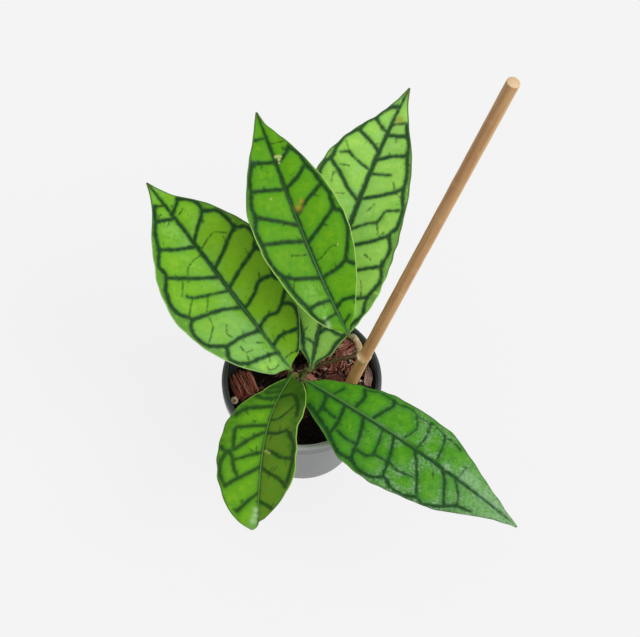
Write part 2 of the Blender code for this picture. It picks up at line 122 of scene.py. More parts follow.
# Vine: up out of the mix behind the stake, over to the left, and a branch up to the top leaf
VINE_PATH = [
    (29.4, 7.6, 30),
    (30.4, 7.8, 46),
    (31.4, 8.2, 62),
    (32.4, 8.2, 73),
    (31.8, 7.0, 79.5),
    (26.3, 5.2, 80.5),
    (14.7, 4.0, 77),
    (8.1, 2.7, 73.5),
    (2.5, 1.0, 71),
    (-3.2, -1.6, 69.6),
    (-6.8, -3.4, 69.2),
]
VINE_RADII = [2.0, 2.0, 1.95, 1.8, 1.55, 1.3, 1.25, 1.3, 1.8, 1.5, 1.8]
BRANCH_PATH = [(32.0, 7.6, 76), (32.0, 7.8, 87), (29.6, 6.8, 98), (28.0, 5.4, 102.5)]
BRANCH_RADII = [1.7, 1.7, 1.65, 1.8]
BRANCH_PALE_BETWEEN = (0, 8)
VINE_NODE_RADIUS = 1.8
VINE_SEED = 31
BRANCH_SEED = 37
VINE_SIDES = 24
VINE_WAVES = [(0.10, 3.2), (0.06, 1.4)]

# Leaf stalks
STALK_GRID = 0.8
LEAF_STALK_RADIUS = 1.25
STALK_SUNK = 0.6
STALK_HANDLES = (0.45, 0.22)  # shares of its length that its curve's two handles reach
STALK_SWELLING = 0.22
STALK_SWELLING_ROWS = 2.2
STALK_BACK = -0.12  # what a stalk's start counts as, where its blade runs from 0 to 1

# Leaf blades
GRID = 0.55
BLADE_THICKNESS = 1.1
MARGIN_THICKNESS = 0.8
MARGIN_ROUNDING = 0.5
ROUNDED_AT = np.array((0.6, 0.3, 0.1, 0.0))
RIB_HALF_WIDTH = 1.6
RIB_DEPTH = 1.3
GROOVE_DEPTH = 0.25
FOLD_ROUNDING = 0.6
PUFF_HEIGHT = 0.42
PUFF_REACH = 2.8
VEIN_DEPTH = 0.15
TWIG_DEPTH = 0.06
SWAY_HEIGHT = 0.3
SWAY_SIZE = 30
RUFFLE_SIZE = 11
WAVE_SIZE = 13
# Across a blade, places to the left of its midrib are negative
SIGNS = {"left": -1, "right": 1}

# Veins, with half widths in millimetres
VEIN_HALF_WIDTHS = {"thick": 1.25, "side": 1.0, "loop": 1.05, "thin": 0.66, "faint": 0.42}
MIDRIB_SHARES = (0, 0.1, 0.3, 0.6, 0.8, 0.93, 1)
MIDRIB_HALF_WIDTHS = (1.0, 1.3, 1.5, 1.45, 1.15, 0.7, 0.4)
MIDRIB_FOOT_SHARES = (0, 0.08, 0.35)
FAR = 6.0
STRAY_TWIGS = (1, 4)
STRAY_LENGTH = (1.8, 5.0)
FORKED_SHARE = 0.4
FORK_LENGTH = 0.4

# Half widths of a blade are given at these shares of its length, from its foot to its tip
STATIONS = np.array((0, 0.04, 0.10, 0.20, 0.32, 0.45, 0.58, 0.70, 0.80, 0.88, 0.95, 1))

# Each leaf: foot of its blade, length and half widths in millimetres; heading (0 is +Y, towards
# +X is positive), pitch, roll (right side down is positive) and fold (how far each half rises
# from the midrib) in degrees at the foot, the middle and the tip; where its stalk leaves the
# vine, and in which direction; in what share of its length the blade grows out of its round
# stalk; how ruffled and waved its margin is; and how wide its veins and midrib are, and the
# midrib's foot against the rest of it
LEAVES = {
    "leaf_left": {
        "foot": (-6.3, -3.9, 83.6),
        "length": 131,
        "heading": (-48, -43, -37),
        "pitch": (37, 28, 4),
        "roll": (-5, -18, 0),
        "fold": (16, 12, 8),
        "left": (4.5, 11.3, 18, 26.2, 32.3, 35, 32, 24.5, 16, 7.8, 2.9, 0.5),
        "right": (4, 10.5, 16.8, 24.8, 31.5, 34, 31, 24, 16.3, 7.9, 3.1, 0.5),
        "stalk_from": (-6.2, -3.0, 69.2),
        "stalk_direction": (-0.1, 0.45, 0.9),
        "foot_share": 0.03,
        "ruffle": 0.25,
        "wave": 0.15,
        "vein_size": 1.0,
        "midrib_size": 0.84,
        "midrib_foot": 0.55,
    },
    "leaf_top": {
        "foot": (25.7, 2.5, 110),
        "length": 132,
        "heading": (-34, -25, -20),
        "pitch": (35, 29, 9),
        "roll": (0, -3, 0),
        "fold": (16, 12, 8),
        "left": (1.5, 6.5, 13, 19.3, 23.6, 26.6, 26.3, 20.6, 14.2, 8, 3.6, 0.5),
        "right": (1.5, 6, 11, 17.5, 23, 25.4, 23.3, 18.5, 12.7, 7, 2.1, 0.5),
        "stalk_from": (28.0, 5.4, 102.5),
        "stalk_direction": (-0.2, -0.35, 0.9),
        "foot_share": 0.06,
        "ruffle": 0.25,
        "wave": 0.15,
        "vein_size": 1.0,
        "midrib_size": 0.84,
        "midrib_foot": 0.72,
    },
    "leaf_back": {
        "foot": (5.3, -1.4, 78),
        "length": 167,
        "heading": (11, 23, 28),
        "pitch": (28, 30.5, 16),
        "roll": (0, 6, 0),
        "fold": (8, 9, 8),
        "left": (1.5, 6.5, 11.5, 18.5, 25.5, 29, 29, 25.8, 17.6, 8.5, 3, 0.5),
        "right": (1.5, 8, 13.2, 22, 28.3, 29.5, 27.8, 23.9, 17.4, 9.5, 3.5, 0.5),
        "stalk_from": (3.4, 1.2, 71.4),
        "stalk_direction": (-0.35, -0.1, 0.93),
        "foot_share": 0.06,
        "ruffle": 0.3,
        "wave": 0.2,
        "vein_size": 1.0,
        "midrib_size": 1.0,
        "midrib_foot": 1,
    },
    "leaf_lower_left": {
        "foot": (-4.3, -8.8, 85),
        "length": 95,
        "heading": (-148.5, -171, -179),
        "pitch": (13, -3, -33),
        "roll": (8, 14, 10),
        "fold": (20, 18, 10),
        "left": (1.5, 7.5, 13, 18.7, 21.4, 20.1, 22.2, 21.1, 16.1, 9.6, 2.6, 0.6),
        "right": (1.5, 2.2, 4.8, 10.6, 18.4, 23.1, 24.2, 23.1, 20.1, 16.4, 11.3, 6),
        "stalk_from": (-3.2, -1.6, 69.6),
        "stalk_direction": (0.1, -0.6, 0.8),
        "foot_share": 0.06,
        "ruffle": 0.35,
        "wave": 0.28,
        "vein_size": 0.85,
        "midrib_size": 0.42,
        "midrib_foot": 1,
    },
    "leaf_lower_right": {
        "foot": (2, -10.9, 82),
        "length": 144,
        "heading": (129, 128, 128),
        "pitch": (13, 1, -15),
        "roll": (6, 3, 4),
        "fold": (-2, -8, -4),
        "left": (1.5, 5, 9.5, 15, 20.5, 22, 21.5, 15.8, 9.9, 5.8, 2.4, 0.5),
        "right": (1.5, 9, 14, 20, 27.3, 28.7, 25.6, 21.6, 14.8, 8, 3.4, 0.5),
        "stalk_from": (1.8, 0.55, 70.9),
        "stalk_direction": (-0.1, -0.8, 0.55),
        "foot_share": 0.06,
        "ruffle": 0.3,
        "wave": 0.15,
        "vein_size": 0.92,
        "midrib_size": 0.74,
        "midrib_foot": 1,
    },
}

# One half of the lower left leaf ends before its tip, with a notch
NOTCHED = ("leaf_lower_left", "left")
NOTCH_SHARES = (0.935, 0.96)
NOTCH_DEPTH = 0.8

# That leaf's blunt tip rounds off from a share of its length on, about a point across the blade
ROUND_FROM = 0.955
ROUND_ABOUT = 3.2
ROUND_CLOSED = 0.97

# The veins of each half of a blade: side veins leave the midrib, the loop joins them before the
# margin, and twigs are the faint veins between them. A point is its share of the blade's length
# and its share of the half width there, in percent.
NETS = {
    ("leaf_left", "left"): {
        "side": [
            [(80, 0), (83, 67)], [(65, 0), (69, 40), (73, 80)], [(49, 0), (56, 42), (62, 79)],
            [(33, 0), (38, 32), (42, 76)], [(21, 0), (24, 39), (25, 74)], [(9, 0), (12, 50), (14, 83)],
        ],
        "thin": [[(87, 0), (89, 70)], [(42, 0), (46, 32), (49, 55), (51, 62)]],
        "loop": [[
            (89, 70), (87, 80), (83, 80), (79, 84), (73, 80), (68, 89), (63, 79), (58, 89), (53, 92),
            (48, 89), (43, 78), (40, 87), (36, 93), (30, 91), (25, 74), (21, 90), (17, 93), (14, 83),
        ]],
        "twigs": [
            [(61, 7), (61, 21), (60, 35), (58, 41)], [(49, 56), (47, 64), (44, 77)],
            [(57, 55), (54, 63), (52, 69)], [(46, 33), (43, 43), (41, 51)],
            [(38, 55), (35, 60), (33, 71), (31, 84)], [(32, 41), (29, 52), (26, 51)],
            [(21, 56), (18, 58), (17, 45)], [(18, 58), (15, 72), (14, 82)], [(18, 25), (16, 12)],
            [(10, 29), (8.5, 44)], [(7.6, 67), (6.2, 77), (4.7, 61), (4.7, 38)],
        ],
    },
    ("leaf_left", "right"): {
        "side": [
            [(82, 0), (86, 77)], [(67, 0), (70, 21), (73, 49), (75, 71)],
            [(53, 0), (56, 27), (59, 50), (62, 80)], [(43, 0), (47, 39), (50, 77)],
            [(32, 0), (35, 30), (38, 48), (37, 72)], [(22, 0), (24, 28), (23, 49), (25, 68)],
            [(12, 0), (14, 33), (13, 64), (12, 95)],
        ],
        "loop": [[
            (86, 77), (83, 92), (79, 87), (75, 73), (72, 90), (67, 87), (62, 80), (59, 92), (54, 90),
            (50, 77), (44, 90), (37, 73), (31, 88), (28, 78), (25, 68), (23, 81), (20, 93), (15, 96),
            (11, 97), (8, 97), (4, 90),
        ]],
        "twigs": [
            [(41, 55), (38, 50)], [(81, 42), (80, 15)],
            [(63, 7), (64, 17), (65, 37), (65, 47), (62, 60)], [(5, 16), (5, 55), (4, 85)],
        ],
    },
    ("leaf_top", "left"): {
        "side": [
            [(77, 0), (79, 84)], [(65, 0), (67, 51), (68, 87)], [(49, 0), (54, 43), (58, 83)],
            [(42, 0), (45, 45), (47, 90)], [(26, 0), (30, 62), (33, 87)], [(16, 0), (17, 44), (17, 84)],
        ],
        "thin": [[(88, 0), (88, 82)], [(10, 0), (10, 54), (9, 81)]],
        "loop": [[
            (79, 84), (73, 91), (68, 87), (63, 87), (58, 83), (53, 93), (47, 91), (41, 93), (36, 92),
            (33, 87), (28, 88), (22, 86), (17, 84), (12, 90), (9, 81),
        ]],
        "twigs": [[(39, 42), (38, 26), (37, 12)], [(30, 65), (26, 84)]],
    },
    ("leaf_top", "right"): {
        "side": [
            [(76, 0), (79, 53), (81, 80)], [(65, 0), (68, 42), (72, 84)], [(53, 0), (58, 40), (62, 87)],
            [(41, 0), (46, 43), (51, 82)], [(26, 0), (27, 47), (29, 73)], [(12, 0), (14, 43), (13, 91)],
        ],
        "thin": [[(5, 8), (7, 60)]],
        "loop": [[
            (81, 80), (77, 93), (72, 85), (68, 89), (62, 87), (57, 90), (51, 83), (48, 94), (41, 94),
            (35, 85), (29, 74), (26, 92),
        ]],
        "twigs": [
            [(85, 0), (84, 86)], [(33, 0), (34, 23), (36, 42), (36, 60)], [(46, 46), (45, 54)],
            [(19, 2), (16, 10)],
        ],
    },
    ("leaf_back", "left"): {
        "side": [
            [(83, 0), (84, 34), (86, 87)], [(76, 0), (78, 31), (80, 82)],
            [(58, 0), (61.5, 32), (64.3, 52), (66, 67), (68, 88)], [(47, 0), (52, 40), (56, 85)],
            [(36, 0), (42, 40), (45, 85)], [(25, 0), (30, 40), (33, 85)],
        ],
        "thin": [[(69, 0), (71, 45), (72, 61), (71, 75)], [(8.5, 0), (9.5, 35), (10, 66)]],
        "loop": [[
            (92.5, 20), (91.4, 70), (89.5, 92), (86.4, 92), (83.5, 96), (80.5, 87), (78.5, 96),
            (76, 98), (73, 94), (70, 88), (68, 87), (66, 93), (60, 90), (56, 85), (50, 92), (45, 85),
            (39, 92), (33, 85), (27, 92), (20, 90), (15, 78), (10, 69), (5, 70), (2, 60),
        ]],
        "twigs": [
            [(72, 61), (74, 75), (75, 85)], [(67, 66), (68, 46)], [(64, 67), (61, 63)],
            [(58, 46), (59, 31)], [(10, 64), (12, 60), (14, 41)],
        ],
    },
    ("leaf_back", "right"): {
        "side": [
            [(82, 0), (84, 80)], [(73, 0), (76, 39), (78, 82)], [(59, 0), (63, 45), (67, 83)],
            [(42, 0), (47, 50), (51, 80)], [(32, 0), (38, 61), (40, 83)], [(22, 0), (27, 62), (28, 80)],
            [(12, 0), (14.5, 25), (13.6, 60), (13.3, 86)],
        ],
        "thin": [
            [(86, 0), (88, 69)], [(68, 0), (70, 48)], [(48, 0), (52, 30), (54, 50), (58, 60), (60, 85)],
        ],
        "loop": [[
            (88, 85), (84, 85), (82, 90), (78, 85), (72, 88), (66, 86), (60, 93), (54, 90), (51, 80),
            (46, 89), (40, 84), (35, 92), (28, 81), (22, 93), (18, 86), (13, 90), (10.8, 84), (7.6, 86),
            (5, 85), (2, 60),
        ]],
        "twigs": [
            [(68, 59), (66, 66)], [(56, 23), (59, 33)], [(54, 49), (50, 57)], [(42, 46), (41, 60)],
            [(33, 56), (28, 68)],
        ],
    },
    ("leaf_lower_left", "right"): {
        "thick": [[(25.5, 0), (30, 53), (32, 74), (37, 89)]],
        "side": [
            [(19, 0), (23, 55), (23, 92)], [(39, 0), (43, 57), (45, 72), (48, 71), (55, 66)],
            [(43, 0), (49, 32), (54, 52), (58, 75), (56, 93)], [(56, 0), (58, 23)],
            [(64, 0), (69, 29), (72, 53), (76, 84)], [(79, 0), (85, 36), (90, 74)],
        ],
        "thin": [
            [(8, 0), (14, 65), (16, 95)], [(14, 5), (17, 40), (19, 75)], [(58, 23), (60, 41), (62, 62)],
        ],
        "loop": [
            [(58, 75), (60, 67), (66, 61), (71, 53)],
            [(58, 79), (60, 83), (65, 92), (71, 92), (76, 84)],
        ],
    },
    ("leaf_lower_left", "left"): {
        "thick": [[(19, 0), (17, 47), (23, 71), (34, 80)]],
        "side": [
            [(44, 0), (45, 37), (44, 63), (47, 83)], [(54, 0), (56, 24), (60, 54), (61, 91)],
            [(65, 0), (69, 31), (73, 64), (76, 84)], [(84, 0), (88, 79)],
        ],
        "thin": [[(35, 0), (35, 29), (26, 67)]],
        "loop": [[(47, 79), (52, 89), (61, 89), (67, 86), (76, 83)]],
    },
    ("leaf_lower_right", "right"): {
        "side": [
            [(11, 0), (13, 46), (13, 82)], [(20, 0), (22, 51), (22, 87)], [(29, 0), (32, 34), (35, 84)],
            [(43, 0), (46, 29), (49, 76)], [(53, 0), (59, 42), (64, 87)], [(65, 0), (69, 24), (74, 80)],
        ],
        "thin": [
            [(38, 0), (40, 28), (41, 52)], [(71, 0), (76, 36), (78, 70)], [(13, 50), (20, 47)],
            [(24, 65), (29, 61), (33, 56)], [(34, 65), (39, 63), (42, 52), (47, 50)],
            [(48, 48), (53, 55), (58, 52)],
        ],
        "loop": [[
            (8, 85), (13, 83), (18, 86), (22, 88), (29, 93), (35, 86), (40, 93), (46, 89), (50, 79),
            (54, 91), (59, 95), (64, 89), (68, 96), (74, 85), (78, 72), (83, 78),
        ]],
        "twigs": [[(62, 5), (65, 33)]],
    },
    ("leaf_lower_right", "left"): {
        "side": [[(24, 0), (24, 55), (22, 84)], [(32, 0), (34, 48), (35, 68), (34, 85)]],
        "thin": [[(13, 0), (15, 60)], [(53, 0), (53, 45), (51, 80)], [(62, 0), (60, 54), (58, 80)]],
        "faint": [
            [(46, 0), (48, 47), (45, 76)], [(72, 0), (72, 60)],
            [(22, 86), (28, 90), (35, 82), (41, 88), (46, 80), (52, 86), (58, 80), (66, 85)],
        ],
    },
}

# Marks on the blades: share of the length, signed share of the half width, radius in millimetres
MARK_KINDS = ("pale", "brown", "shine", "sheen")
MARKS = {
    "leaf_left": {"sheen": [(.079, -.53, 3.4), (.088, -.72, 2.6), (.066, -.40, 2.4)]},
    "leaf_top": {
        "pale": [
            (.790, .09, 0.75), (.787, .17, 0.8), (.784, .26, 0.75), (.774, .17, 0.75),
            (.761, .12, 0.5), (.63, -.40, 0.4), (.36, .62, 0.4),
        ],
        "brown": [(.56, .13, 2.0), (.58, .24, 1.3)],
        "shine": [(.074, -.84, 1.5), (.084, -.74, 1.3), (.11, -.62, 0.8)],
        "sheen": [(.133, -.51, 4.5), (.175, -.48, 5.5), (.222, -.51, 6.5)],
    },
    "leaf_back": {
        "brown": [(.885, .35, 1.8), (.082, .45, 0.5), (.060, .48, 0.6), (.097, .46, 0.4)],
    },
    "leaf_lower_left": {
        "pale": [(.555, -.09, 1.0), (.57, -.20, 0.7), (.56, -.15, 0.6)],
        "shine": [(.89, .09, 1.5), (.92, .12, 1.7), (.95, .22, 1.9)],
    },
    "leaf_lower_right": {
        "sheen": [
            (.746, -.32, 4.0), (.775, -.36, 4.0), (.835, -.30, 3.6), (.89, -.36, 3.2),
            (.917, -.48, 2.6), (.66, -.12, 2.2),
        ],
    },
}


def unit(vectors):
    """The same directions with length 1."""
    vectors = np.asarray(vectors, float)
    return vectors / np.linalg.norm(vectors, axis=-1, keepdims=True)


def smooth_step(value, start, end):
    """0 at the start and 1 at the end, with soft ends."""
    share = np.clip((value - start) / (end - start), 0, 1)
    return share * share * (3 - 2 * share)


def ripple(points, size, seed, count=8):
    """Smooth random unevenness, mostly between -1 and 1, in waves of about the given size."""
    draw = np.random.default_rng(seed)
    total = np.zeros(points.shape[:-1])
    for _ in range(count):
        direction = unit(draw.normal(size=points.shape[-1])) * math.tau / size * draw.uniform(0.6, 1.5)
        total += np.sin(points @ direction + draw.uniform(0, math.tau))
    return total / math.sqrt(count)


def ripples(points, waves, seed):
    """Unevenness of several kinds together, each given as its height and the size of its waves."""
    return sum(height * ripple(points, size, seed + n) for n, (height, size) in enumerate(waves))


def smooth_path(points, steps, values=None):
    """Points on one smooth curve through the given ones, and a value carried along."""
    places = np.array(points, float)
    before = np.vstack([places[:1], places[:-2]])
    start, end = places[:-1], places[1:]
    after = np.vstack([places[2:], places[-1:]])
    s = (np.arange(steps) / steps)[None, :, None]
    before, start, end, after = (part[:, None] for part in (before, start, end, after))
    path = 0.5 * (
        2 * start
        + (end - before) * s
        + (2 * before - 5 * start + 4 * end - after) * s ** 2
        + (3 * start - before - 3 * end + after) * s ** 3
    )
    path = np.vstack([path.reshape(-1, places.shape[1]), places[-1:]])
    if values is None:
        return path
    knots = np.arange(len(places)) * steps
    return path, np.interp(np.arange(len(path)), knots, values)


def distance_along(path):
    """Distance walked from the start of a path, at each of its points."""
    return np.concatenate([[0], np.cumsum(np.linalg.norm(np.diff(path, axis=0), axis=1))])


def turned(profile, segments):
    """Rings round Z through a profile of (radius, height)."""
    angles = np.arange(segments) * math.tau / segments
    radius, height = np.array(profile, float).T
    x = radius[:, None] * np.cos(angles)
    y = radius[:, None] * np.sin(angles)
    return np.stack([x, y, height[:, None] + 0 * x], -1)


def sweep(path, radii, sides):
    """Rings round a path, and each ring point's own place: along, and across in two directions."""
    tangent = unit(np.gradient(path, axis=0))
    side = unit(np.cross(tangent[0], (0.3, 1.0, 0.2)))
    rings = []
    angles = np.arange(sides) * math.tau / sides
    for point, direction, radius in zip(path, tangent, radii):
        side = unit(side - direction * (side @ direction))
        other = np.cross(direction, side)
        turn = np.cos(angles)[:, None] * side + np.sin(angles)[:, None] * other
        rings.append(point + turn * radius)
    count = (len(path), sides)
    values = {
        "along": np.broadcast_to(distance_along(path)[:, None], count),
        "grain_x": np.broadcast_to(np.cos(angles), count) * np.mean(radii),
        "grain_y": np.broadcast_to(np.sin(angles), count) * np.mean(radii),
    }
    return np.array(rings), values


def turned_box(angles, place, points):
    """Points turned about X, Y and Z in turn, by degrees, and moved to a place."""
    a, b, c = np.radians(angles)
    about_x = np.array(((1, 0, 0), (0, math.cos(a), -math.sin(a)), (0, math.sin(a), math.cos(a))))
    about_y = np.array(((math.cos(b), 0, math.sin(b)), (0, 1, 0), (-math.sin(b), 0, math.cos(b))))
    about_z = np.array(((math.cos(c), -math.sin(c), 0), (math.sin(c), math.cos(c), 0), (0, 0, 1)))
    return points @ (about_z @ about_y @ about_x).T + np.array(place, float)


def signed_volume(points, quads, triangles):
    """Volume inside closed faces, negative where they face inwards."""
    corners = np.vstack([quads[:, [0, 1, 2]], quads[:, [0, 2, 3]], triangles])
    a, b, c = (points[corners[:, k]] for k in range(3))
    return np.einsum("ij,ij->i", a, np.cross(b, c)).sum() / 6


def with_caps(values):
    """Values of a skin's ring points, with the two cap points' own."""
    return np.concatenate([values.reshape(-1), [values[0].mean(), values[-1].mean()]])


def skin(rings, values=None):
    """A closed part over rings of equal size: points, faces and {attribute: values}."""
    count, size, _ = rings.shape
    points = np.vstack([rings.reshape(-1, 3), rings[0].mean(0), rings[-1].mean(0)])
    here = np.arange((count - 1) * size).reshape(count - 1, size)
    beside = np.roll(here, -1, axis=1)
    quads = np.stack([here, beside, beside + size, here + size], -1).reshape(-1, 4)
    ring = np.arange(size)
    after = np.roll(ring, -1)
    first_middle = count * size
    last = first_middle - size
    start_cap = np.stack([after, ring, np.full(size, first_middle)], -1)
    end_cap = np.stack([last + ring, last + after, np.full(size, first_middle + 1)], -1)
    faces = quads.tolist() + start_cap.tolist() + end_cap.tolist()
    if signed_volume(points, quads, np.vstack([start_cap, end_cap])) < 0:
        faces = [face[::-1] for face in faces]
    return points, faces, {key: with_caps(np.array(value)) for key, value in (values or {}).items()}


def joined_mesh(name, parts):
    """One mesh from closed parts."""
    points, faces, start = [], [], 0
    for part_points, part_faces, _ in parts:
        points.append(part_points)
        faces += [[corner + start for corner in face] for face in part_faces]
        start += len(part_points)
    mesh = bpy.data.meshes.new(name)
    mesh.from_pydata((np.vstack(points) * MM).tolist(), [], faces)
    for key in parts[0][2]:
        values = np.concatenate([part[2][key] for part in parts]).astype(np.float32)
        mesh.attributes.new(key, "FLOAT", "POINT").data.foreach_set("value", values)
    return mesh


def add_object(name, data):
    item = bpy.data.objects.new(name, data)
    bpy.context.scene.collection.objects.link(item)
    return item


def make_piece(name, parts, material, replaced=None):
    """One visible piece from closed parts."""
    mesh = joined_mesh(name, parts)
    mesh.shade_smooth()
    mesh.materials.append(material)
    piece = add_object(name, mesh)
    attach(piece, BODY)
    if replaced:
        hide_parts(replaced)
    return piece


class Shade:
    """A material's nodes, with layers of colour painted one over another.

    A colour is three numbers, and a size is in millimetres.
    """

    def __init__(self, name, colour, roughness, specular=0.5):
        self.material = bpy.data.materials.new(name)
        self.material.use_nodes = True
        self.tree = self.material.node_tree
        self.shader = self.tree.nodes["Principled BSDF"]
        self.shader.inputs["Roughness"].default_value = roughness
        self.shader.inputs["Specular IOR Level"].default_value = specular
        self.place = self.node("ShaderNodeTexCoord", {}).outputs["Object"]
        self.colour = colour

    def node(self, kind, sockets, **settings):
        made = self.tree.nodes.new(kind)
        for key, value in settings.items():
            setattr(made, key, value)
        for key, value in sockets.items():
            self.plug(made.inputs[key], value)
        return made

    def plug(self, socket, value):
        if isinstance(value, bpy.types.NodeSocket):
            self.tree.links.new(value, socket)
        elif isinstance(value, tuple) and len(value) == 3 and socket.type == "RGBA":
            socket.default_value = (*value, 1)
        else:
            socket.default_value = value

    def value(self, name):
        return self.node("ShaderNodeAttribute", {}, attribute_name=name).outputs["Fac"]

    def math(self, operation, first, *others):
        result = first
        for other in others:
            result = self.node("ShaderNodeMath", {0: result, 1: other}, operation=operation).outputs[0]
        return result

    def times(self, *values):
        return self.math("MULTIPLY", *values)

    def plus(self, *values):
        return self.math("ADD", *values)

    def size_of(self, value):
        """The value without its sign."""
        return self.node("ShaderNodeMath", {0: value}, operation="ABSOLUTE").outputs[0]

    def fade(self, value, start, end):
        """0 where the value is at the start, 1 where it is at the end."""
        sockets = {"Value": value, "From Min": start, "From Max": end}
        return self.node("ShaderNodeMapRange", sockets, interpolation_type="SMOOTHSTEP").outputs["Result"]

    def mix(self, factor, a, b, blend="MIX"):
        made = self.node("ShaderNodeMix", {}, data_type="RGBA", blend_type=blend)
        for key, value in {0: factor, 6: a, 7: b}.items():
            self.plug(made.inputs[key], value)
        return made.outputs[2]

    def paint(self, colour, *factors, blend="MIX"):
        """Lays a colour over what is there, as strongly as the product of the factors."""
        self.colour = self.mix(self.times(*factors), self.colour, colour, blend)

    def noise(self, size, detail=2.0):
        """Noise between 0 and 1 with spots of about the given size."""
        sockets = {"Vector": self.place, "Scale": 1 / (size * MM), "Detail": detail}
        return self.node("ShaderNodeTexNoise", sockets).outputs["Fac"]

    def grain(self, size, detail, third):
        """Noise in a piece's own grain: two places that its points carry, and a third."""
        places = {"X": self.value("grain_x"), "Y": self.value("grain_y"), "Z": third}
        vector = self.node("ShaderNodeCombineXYZ", places).outputs["Vector"]
        sockets = {"Vector": vector, "Scale": 1 / size, "Detail": detail}
        return self.node("ShaderNodeTexNoise", sockets).outputs["Fac"]

    def spots(self, size):
        """Distance to the nearest of scattered points, about the given size apart."""
        sockets = {"Vector": self.place, "Scale": 1 / (size * MM)}
        return self.node("ShaderNodeTexVoronoi", sockets).outputs["Distance"]

    def bump(self, height, distance, strength=1.0):
        sockets = {"Height": height, "Distance": distance * MM, "Strength": strength}
        made = self.node("ShaderNodeBump", sockets)
        self.plug(self.shader.inputs["Normal"], made.outputs["Normal"])

    def finish(self, roughness=None):
        self.plug(self.shader.inputs["Base Color"], self.colour)
        if roughness is not None:
            self.plug(self.shader.inputs["Roughness"], roughness)
        return self.material


def along_blade(values, share):
    """A value given at a blade's foot, middle and tip, read at shares of its length."""
    foot, middle, tip = values
    from_foot = foot * (2 * share - 1) * (share - 1)
    return from_foot + middle * 4 * share * (1 - share) + tip * share * (2 * share - 1)


def half_width(values, share):
    """Half widths of a blade, on a smooth curve through its stations."""
    values = np.array(values, float)
    gaps = np.diff(STATIONS)
    rises = np.diff(values) / gaps
    slopes = np.concatenate([rises[:1], np.zeros(len(values) - 2), rises[-1:]])
    for i in range(1, len(values) - 1):
        if rises[i - 1] * rises[i] > 0:
            weight = gaps[i - 1] / rises[i] + gaps[i] / rises[i - 1]
            slopes[i] = (gaps[i - 1] + gaps[i]) / weight
    index = np.clip(np.searchsorted(STATIONS, share, side="right") - 1, 0, len(gaps) - 1)
    gap = gaps[index]
    s = (share - STATIONS[index]) / gap
    value = (1 + 2 * s) * (1 - s) ** 2 * values[index]
    value += s * (1 - s) ** 2 * gap * slopes[index]
    value += s * s * (3 - 2 * s) * values[index + 1]
    value += s * s * (s - 1) * gap * slopes[index + 1]
    return value


def blade_frame(leaf, share):
    """Directions along the blade, to its right and up from it, at shares of its length."""
    angles = (np.radians(along_blade(leaf[key], share)) for key in ("heading", "pitch", "roll"))
    heading, pitch, roll = angles
    level_share = np.cos(pitch)
    ahead = np.stack([np.sin(heading) * level_share, np.cos(heading) * level_share, np.sin(pitch)], -1)
    level = np.stack([np.cos(heading), -np.sin(heading), 0 * heading], -1)
    upward = np.cross(level, ahead)
    cosine, sine = np.cos(roll)[:, None], np.sin(roll)[:, None]
    return ahead, level * cosine - upward * sine, upward * cosine + level * sine


def midrib_points(leaf, rows, substeps=4):
    """Points of the midrib, by adding up its direction."""
    steps = rows * substeps
    ahead, _, _ = blade_frame(leaf, (np.arange(steps) + 0.5) / steps)
    walked = np.vstack([np.zeros(3), np.cumsum(ahead * leaf["length"] / steps, axis=0)])
    return np.array(leaf["foot"], float) + walked[::substeps]


def blade_width(name, leaf, side, share, seed):
    """Half widths with small waves of the margin, and the notch beside the lower left leaf's tip."""
    width = half_width(leaf[side], share)
    apart = 300 if side == "left" else 0  # so that the two margins wave in their own ways
    along = share[:, None] * leaf["length"] + apart
    width += leaf["wave"] * ripple(along, WAVE_SIZE, seed + 2) * np.sin(math.pi * share)
    if (name, side) == NOTCHED:
        width *= 1 - NOTCH_DEPTH * smooth_step(share, *NOTCH_SHARES)
    return width


def width_beside(reach, widths):
    """The half width of the half of the blade that each point is on."""
    return np.where(reach < 0, widths["left"][:, None], widths["right"][:, None])


def half_reaches(width, columns):
    """Distances from the midrib across one half, closer together where the margin rounds off."""
    edge = np.minimum(MARGIN_ROUNDING, 0.25 * width)[:, None]
    inner = (width[:, None] - edge) * np.linspace(0, 1, columns + 1)[1:]
    return np.hstack([inner, width[:, None] - edge * ROUNDED_AT])


def distance_to(path, x, y, limit):
    """Distance from every point of a grid to a path, up to a limit; x is the same along a row."""
    nearest = np.full(y.shape, limit)
    for a, b in zip(path, path[1:]):
        low = np.searchsorted(x, min(a[0], b[0]) - limit)
        high = np.searchsorted(x, max(a[0], b[0]) + limit)
        if low >= high:
            continue
        rows = slice(low, high)
        along = b - a
        dx = x[rows, None] - a[0]
        dy = y[rows] - a[1]
        share = np.clip((dx * along[0] + dy * along[1]) / (along @ along), 0, 1)
        here = np.hypot(dx - share * along[0], dy - share * along[1])
        nearest[rows] = np.minimum(nearest[rows], here)
    return nearest


def joined_distance(a, b, softness=1.1):
    """The nearer of two distances, with a rounded corner where they are alike."""
    share = np.clip(0.5 + 0.5 * (b - a) / softness, 0, 1)
    return b + (a - b) * share - softness * share * (1 - share)


def vein_paths(leaf, net, side):
    """Each vein of one half as (kind, path), in flat millimetres along and across the blade."""
    for kind, veins in net.items():
        for vein in veins:
            path = smooth_path(np.array(vein) / 100, 6)
            across = path[:, 1] * half_width(leaf[side], path[:, 0])
            yield kind, np.stack([path[:, 0] * leaf["length"], SIGNS[side] * across], -1)


